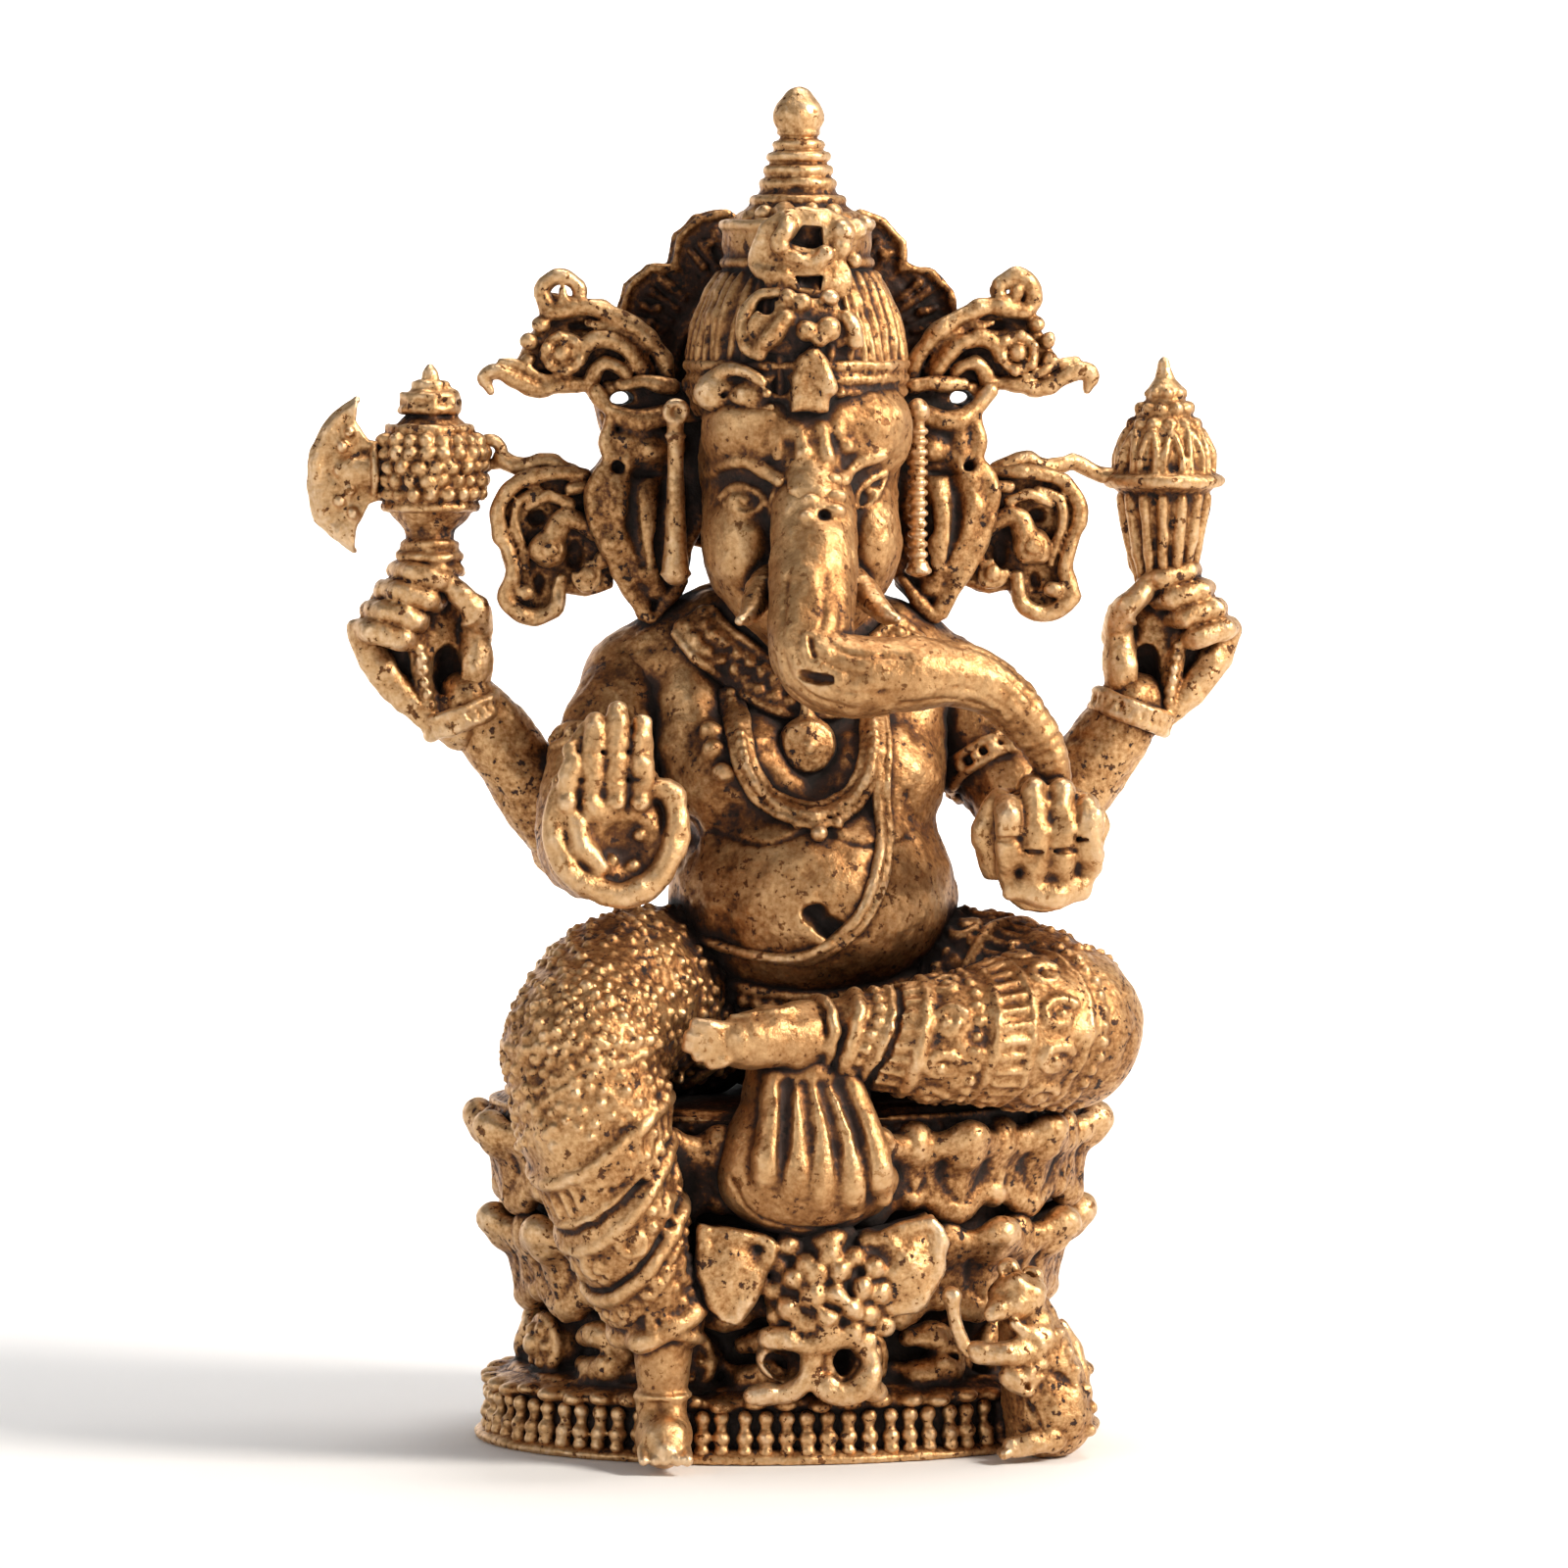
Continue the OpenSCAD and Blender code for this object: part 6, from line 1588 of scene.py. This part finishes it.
class Fullness:
    """How much metal is round a point, at four scales: over a half in a recess, under on an edge."""

    def __init__(self, clays, cell=0.14):
        low = np.min([c.low for c in clays], 0) - 1.5
        high = np.max([c.low + c.cell * np.array(c.n) for c in clays], 0) + 1.5
        self.low, self.cell = low, cell
        n = np.ceil((high - low) / cell).astype(int) + 1
        v = np.zeros(n, np.float32)
        for c in clays:
            i0 = np.ceil((c.low - low) / cell).astype(int)
            i1 = np.floor((c.low + c.cell * (np.array(c.n) - 1) - low) / cell).astype(int) + 1
            g = c.f
            for i in range(3):
                t = (low[i] + cell * np.arange(i0[i], i1[i]) - c.low[i]) / c.cell
                j = np.clip(t.astype(int), 0, c.n[i] - 2)
                u = (t - j).astype(np.float32).reshape([-1 if a == i else 1 for a in range(3)])
                g = np.take(g, j, i) * (1 - u) + np.take(g, j + 1, i) * u
            s = tuple(slice(a, b) for a, b in zip(i0, i1))
            v[s] = np.maximum(v[s], np.clip(0.5 - g / cell, 0, 1))
        small = v[::3, ::3, ::3].copy()
        small = box_blur(small, 1, 1)
        self.levels = [(box_blur(v, 1, 2), cell), (box_blur(v, 3, 2), cell), (box_blur(small, 3, 2),
                                                                              cell * 3),
                       (box_blur(small, 8, 2), cell * 3)]

    def at(self, p):
        return [mixed(v, (p - self.low) / cell, 1.01) for v, cell in self.levels]


# middle of each CAD node's box, in mm, when its piece was drawn
HOME = {"base_plinth": (0, 0, 1.15), "plinth_beads": (0, 0, 0.87), "frieze_drum": (0, 0, 3.1),
        "lower_lotus": (0, 0, 5.66), "upper_lotus": (0, 0, 8.96), "seat_cushion": (0, 0, 11.05),
        "flower_cluster": (0.12, -7.4, 5.27), "dhoti_pleats": (-0.36, -7.34, 10.35),
        "mouse": (7.86, -5.97, 3.2), "mouse_staff": (4.97, -7.46, 4.39), "torso": (0.15, -0.47, 20.55),
        "collar_necklace": (0.12, -3.25, 25.15), "long_necklace": (0.17, -4.57, 22.93),
        "sacred_thread": (0.02, -4.71, 20.19), "waist_belt": (0.43, -4.14, 14.75),
        "head": (0.1, -1.72, 31.38), "trunk": (3.29, -6.93, 27.64), "left_tusk": (-1.74, -5.15, 28.3),
        "right_tusk": (1.92, -5.17, 28.25), "left_ear": (-4.8, 0.17, 31.45),
        "right_ear": (5.2, 0.17, 31.45), "left_ear_drop": (-4, -1.9, 31.76),
        "right_ear_drop": (4.1, -1.9, 31.76), "left_upper_scroll": (-7.14, 0.4, 36.89),
        "right_upper_scroll": (7.34, 0.4, 36.89), "left_lower_scroll": (-8.07, 0.36, 29.84),
        "right_lower_scroll": (8.28, 0.36, 29.84), "halo_disc": (0.2, 2.2, 35.2),
        "crown_dome": (0.13, -1.61, 37.55), "crown_diadem": (0.1, -2.88, 35.57),
        "crown_jewel": (0.24, -4.42, 38.53), "crown_spire": (0.15, -1.5, 42.6),
        "blessing_arm": (-6.38, -2.9, 21.42), "blessing_hand": (-6.59, -7.5, 21.92),
        "sweet_arm": (7.12, -2.79, 21.08), "sweet_hand": (7.2, -7.83, 19.8),
        "sweet_bowl": (7.43, -7.5, 21.86), "axe_upper_arm": (-5.86, 1.75, 22.22),
        "axe_forearm": (-9.31, 1.44, 22.37), "axe_hand": (-11.9, 1.1, 25.92),
        "axe_pot": (-11.95, 1.1, 31.9), "axe_blade": (-14.51, 1.1, 32.2),
        "bud_upper_arm": (7.1, 1.75, 22.33), "bud_forearm": (10.97, 1.44, 22.44),
        "bud_hand": (13.15, 1.1, 25.82), "lotus_bud": (13, 1.1, 31.9),
        "left_strut": (-8.65, 0.68, 32.71), "right_strut": (9.1, 0.72, 32.26),
        "hanging_thigh": (-5.91, -3.31, 14.74), "hanging_shin": (-6.77, -7.06, 9.75),
        "hanging_foot": (-5.15, -7.54, 2.61), "folded_thigh": (6.63, -2.28, 14.32),
        "folded_shin": (4.8, -6.47, 14), "folded_foot": (-2.65, -7.72, 14.18)}


def node_middle(name):
    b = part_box(name)
    return (np.array(b[0]) + np.array(b[1])) / 2 / MM


def make_object(name, points, quads, values, material):
    """A mesh object of four-sided faces, with named values stored on its points."""
    mesh = bpy.data.meshes.new(name)
    mesh.vertices.add(len(points))
    mesh.vertices.foreach_set("co", (points * MM).astype(np.float32).ravel())
    mesh.loops.add(quads.size)
    mesh.loops.foreach_set("vertex_index", quads.astype(np.int32).ravel())
    mesh.polygons.add(len(quads))
    mesh.polygons.foreach_set("loop_start", np.arange(0, quads.size, 4, dtype=np.int32))
    mesh.update(calc_edges=True)
    mesh.validate()
    mesh.shade_smooth()
    for label, numbers in values.items():
        mesh.attributes.new(label, "FLOAT", "POINT").data.foreach_set("value", numbers.astype(np.float32))
    mesh.materials.append(material)
    o = bpy.data.objects.new(name, mesh)
    bpy.context.scene.collection.objects.link(o)
    return o


# ---------- materials ----------

def math_node(tree, op, a, b=None, c=None, clamp=False):
    """The result of a sum of sockets and numbers."""
    n = tree.nodes.new("ShaderNodeMath")
    n.operation, n.use_clamp = op, clamp
    for i, v in enumerate((a, b, c)):
        if v is None:
            continue
        if isinstance(v, (int, float)):
            n.inputs[i].default_value = v
        else:
            tree.links.new(v, n.inputs[i])
    return n.outputs[0]


def noise(tree, where, scale, detail, rough):
    """A noise of so many cells in a metre."""
    n = tree.nodes.new("ShaderNodeTexNoise")
    n.inputs["Scale"].default_value = scale
    n.inputs["Detail"].default_value = detail
    n.inputs["Roughness"].default_value = rough
    tree.links.new(where, n.inputs["Vector"])
    return n.outputs["Fac"]


def ramp(tree, fac, stops):
    """A value turned to a colour, or to a grey, by stops of (position, colour)."""
    n = tree.nodes.new("ShaderNodeValToRGB")
    e = n.color_ramp.elements
    while len(e) < len(stops):
        e.new(0.5)
    for el, (pos, colour) in zip(e, stops):
        el.position = pos
        el.color = (*colour, 1) if len(colour) == 3 else (colour[0],) * 3 + (1,)
    tree.links.new(fac, n.inputs["Fac"])
    return n.outputs["Color"]


def antique_brass(name, lift, tint):
    """Cast brass with a black-brown patina in its recesses, painted shade in its broader hollows and
    rubbed gold on its high places.

    lift brightens it and tint colours it. The points' values say how much patina and painted shade lie
    on them (rubbed edges lie below nought) and how coarse the dark specks are there ("coarse").
    """
    m = bpy.data.materials.new(name)
    m.use_nodes = True
    t = m.node_tree
    p = t.nodes["Principled BSDF"]
    where = t.nodes.new("ShaderNodeTexCoord").outputs["Object"]
    patina_and_painted_shade = t.nodes.new("ShaderNodeAttribute")
    patina_and_painted_shade.attribute_name = "patina_and_painted_shade"
    patina_and_painted_shade = patina_and_painted_shade.outputs["Fac"]
    blotch = noise(t, where, 420, 3, 0.6)
    speck = noise(t, where, 5200, 2, 0.6)
    pits = noise(t, where, 2600, 3, 0.65)
    # random blotches added to the stored patina and painted shade
    wear_and_shade = math_node(t, "MULTIPLY_ADD", math_node(t, "SUBTRACT", blotch, 0.5), 0.6, math_node(t, "SUBTRACT",
                                                                                              patina_and_painted_shade, lift))
    coarse = t.nodes.new("ShaderNodeAttribute")
    coarse.attribute_name = "coarse"
    coarse = coarse.outputs["Fac"]
    wear_and_shade = math_node(t, "MULTIPLY_ADD", math_node(t, "SUBTRACT", speck, 0.5), math_node(t, "MULTIPLY",
                                                                                        coarse, 0.75), wear_and_shade)
    dark_pit = math_node(t, "MULTIPLY", math_node(t, "GREATER_THAN", pits, 0.62), math_node(t, "MULTIPLY",
                                                                                            coarse, 0.25))
    level = math_node(t, "ADD", math_node(t, "ADD", wear_and_shade, dark_pit), 0.5, clamp=True)

    def c(r, g, b):
        return r * tint[0], g * tint[1], b * tint[2]

    # from rubbed gold through brown to near black: the dark end is patina in narrow recesses and painted
    # shade in broader hollows
    colour = ramp(t, level, [(0.0, c(0.80, 0.57, 0.35)), (0.28, c(0.62, 0.375, 0.175)),
                             (0.46, c(0.38, 0.187, 0.070)), (0.60, c(0.155, 0.062, 0.022)),
                             (0.74, c(0.038, 0.015, 0.008)), (1.0, c(0.010, 0.005, 0.003))])
    t.links.new(colour, p.inputs["Base Color"])
    metal = ramp(t, level, [(0.0, (1.0,)), (0.55, (0.9,)), (0.78, (0.4,)), (1.0, (0.2,))])
    t.links.new(metal, p.inputs["Metallic"])
    rough = ramp(t, level, [(0.0, (0.41,)), (0.45, (0.48,)), (0.7, (0.62,)), (1.0, (0.85,))])
    t.links.new(rough, p.inputs["Roughness"])
    grain = noise(t, where, 3800, 4, 0.65)
    lumps = noise(t, where, 900, 3, 0.55)
    height = math_node(t, "ADD", math_node(t, "MULTIPLY", grain, 0.5), lumps)
    bump = t.nodes.new("ShaderNodeBump")
    bump.inputs["Strength"].default_value = 0.7
    bump.inputs["Distance"].default_value = 0.00013
    t.links.new(height, bump.inputs["Height"])
    t.links.new(bump.outputs["Normal"], p.inputs["Normal"])
    return m


def paper():
    """Plain white paper."""
    m = bpy.data.materials.new("paper")
    m.use_nodes = True
    p = m.node_tree.nodes["Principled BSDF"]
    p.inputs["Base Color"].default_value = (0.86, 0.855, 0.85, 1)
    p.inputs["Roughness"].default_value = 0.9
    return m


# ---------- camera, floor and light ----------

AZIMUTH, ELEVATION = -8, 4       # the camera looks from a little left and above, degrees
DISTANCE = 0.26                  # camera to figure, m
FIELD = 0.05246                  # width of the view at the figure, m
AIM = (0.0001, 0.0218)           # right of the figure's middle and up from its foot, m
SENSOR = 36                      # camera sensor width, mm


def studio():
    """The camera, a sweep of white paper and the lamps."""
    lo, hi = CAD_BOX
    middle = Vector(((lo.x + hi.x) / 2 + AIM[0], 0, lo.z + AIM[1]))
    az, el = math.radians(AZIMUTH), math.radians(ELEVATION)
    back = Vector((math.sin(az) * math.cos(el), -math.cos(az) * math.cos(el), math.sin(el)))
    cam = bpy.data.cameras.new("camera")
    cam.sensor_width = SENSOR
    cam.lens = SENSOR * DISTANCE / FIELD
    cam.clip_start, cam.clip_end = 0.01, 5
    o = bpy.data.objects.new("camera", cam)
    o.location = middle + back * DISTANCE
    o.rotation_mode = "QUATERNION"
    o.rotation_quaternion = (-back).to_track_quat("-Z", "Y")
    bpy.context.scene.collection.objects.link(o)
    bpy.context.scene.camera = o

    # a sweep of paper just under the object: flat in the middle and curving up all round, as
    # (radius, height) in m
    flat, bend = 0.42, 0.2
    curve = [(flat + bend * math.sin(a), bend - bend * math.cos(a)) for a in np.linspace(0.15, math.pi / 2,
                                                                                         10)]
    profile = [(0.12, 0.0), (0.3, 0.0), (flat, 0.0)] + curve + [(flat + bend, 0.3)]
    n = 96
    ground = lo.z - 0.00002
    ring = [(math.cos(2 * math.pi * i / n), math.sin(2 * math.pi * i / n)) for i in range(n)]
    verts = [(r * x, r * y, ground + h) for r, h in profile for x, y in ring]
    verts.append((0, 0, ground))
    faces = [(len(verts) - 1, i, (i + 1) % n) for i in range(n)]
    for k in range(len(profile) - 1):
        faces += [(k * n + i, (k + 1) * n + i, (k + 1) * n + (i + 1) % n,
                   k * n + (i + 1) % n) for i in range(n)]
    mesh = bpy.data.meshes.new("floor")
    mesh.from_pydata(verts, [], faces)
    mesh.shade_smooth()
    mesh.materials.append(paper())
    floor = bpy.data.objects.new("floor", mesh)
    bpy.context.scene.collection.objects.link(floor)

    def lamp(name, at, size, watts, colour, aim=(0, 0, 0.024)):
        """A round soft lamp at a place, turned to its aim, in m."""
        d = bpy.data.lights.new(name, "AREA")
        d.shape, d.size = "DISK", size
        d.energy, d.color = watts, colour
        q = bpy.data.objects.new(name, d)
        q.location = at
        q.rotation_mode = "QUATERNION"
        q.rotation_quaternion = (Vector(aim) - Vector(at)).to_track_quat("-Z", "Y")
        bpy.context.scene.collection.objects.link(q)

    lamp("key", (0.25, -0.16, 0.20), 0.11, 1.55, (1.0, 0.93, 0.84))
    lamp("top", (0.06, 0.03, 0.34), 0.14, 0.5, (1.0, 0.97, 0.93))
    lamp("fill", (-0.26, -0.22, 0.12), 0.2, 0.2, (0.95, 0.97, 1.0))
    lamp("sweep", (0.0, 0.22, 0.30), 0.3, 3.0, (1.0, 1.0, 1.0), (0, 0.6, 0.0))

    w = bpy.data.worlds.new("world")
    w.use_nodes = True
    w.node_tree.nodes["Background"].inputs[0].default_value = (0.8, 0.82, 0.86, 1)
    w.node_tree.nodes["Background"].inputs[1].default_value = 0.2
    bpy.context.scene.world = w
    bpy.context.scene.view_settings.view_transform = "Standard"


# how each piece is toned: darkening added to its patina and painted shade (below nought it lightens), how
# coarse its dark specks are, how much painted shade its broad hollows get
EDGE_WEAR_AND_PAINTED_LIGHT = 0.35     # how far the edges brighten, for each step that the hollows darken
WEAR_AND_SHADE = {"halo_disc": (0.32, 1.0, 1.5), "left_upper_scroll": (0.07, 1.0, 1.0), "right_upper_scroll": (0.07,
                                                                                                     1.0,
                                                                                                     1.0),
        "left_lower_scroll": (0.1, 1.0, 1.0), "right_lower_scroll": (0.1, 1.0, 1.0), "left_ear": (0.08, 1.0,
                                                                                                  0.7),
        "right_ear": (0.06, 1.0, 0.7), "left_ear_drop": (0.08, 1.0, 1.0), "head": (-0.05, 0.6, 0.3),
        "trunk": (-0.05, 0.5, 0.3), "torso": (-0.06, 0.65, 0.35), "crown_dome": (0.0, 0.6, 0.7),
        "crown_jewel": (0.0, 1.0, 0.5), "crown_diadem": (0.0, 1.0, 0.5), "blessing_arm": (0.0, 0.7, 0.6),
        "sweet_arm": (0.0, 0.7, 0.6), "blessing_hand": (0.0, 0.6, 0.5), "sweet_hand": (0.0, 0.6, 1.0),
        "hanging_thigh": (-0.05, 1.0, 1.0), "hanging_shin": (-0.05, 0.8, 1.0), "hanging_foot": (0.0, 0.5,
                                                                                                1.0),
        "folded_shin": (-0.03, 0.8, 1.0), "folded_foot": (0.0, 0.5, 1.0), "dhoti_pleats": (0.0, 0.5, 0.4),
        "lower_lotus": (-0.05, 1.0, 1.0), "upper_lotus": (-0.05, 1.0, 1.0), "frieze_drum": (-0.08, 1.0,
                                                                                            1.0),
        "flower_cluster": (-0.05, 1.0, 1.0)}
made = {}
build()
fullness = Fullness(list(made.values()))
BRASS = {"brass": antique_brass("antique_brass", 0.0, (1, 1, 1)),
         "bright_brass": antique_brass("rubbed_brass", 0.05, (1, 1, 1)),
         "dark_brass": antique_brass("dark_brass", -0.05, (0.95, 0.93, 0.9))}
SLOTS = {s["node"]: s["material_slot"] for s in frame["record"]["subparts"]}
with ThreadPoolExecutor(4) as pool:
    meshes = list(pool.map(lambda item: item[1].mesh(item[0]), list(made.items())))
for name, points, quads in meshes:
    patina, coarse, hollow = WEAR_AND_SHADE.get(name, (0.0, 1.0, 1.0))
    fine, near, wide, broad = fullness.at(points)
    points = points + (node_middle(name) - V(HOME[name]))
    # patina and painted shade: the two small scales darken narrow recesses as the real patina does and
    # brighten rubbed edges; the two wide scales, weighted by the hollow column, paint shade into broad
    # hollows and light onto open forms; then each piece's own darkening is added
    patina_and_painted_shade = 1.5 * (fine - 0.5) + 1.5 * (near - 0.48) + hollow * (0.65 * (wide - 0.48) + 0.3 * (broad - 0.4))
    patina_and_painted_shade = np.where(patina_and_painted_shade < 0, patina_and_painted_shade * EDGE_WEAR_AND_PAINTED_LIGHT, patina_and_painted_shade) + patina
    values = {"patina_and_painted_shade": patina_and_painted_shade, "coarse": np.full(len(patina_and_painted_shade), coarse)}
    o = make_object(name + "_cast", points, quads, values, BRASS[SLOTS[name]])
    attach(o, "root")
    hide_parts(name)
studio()
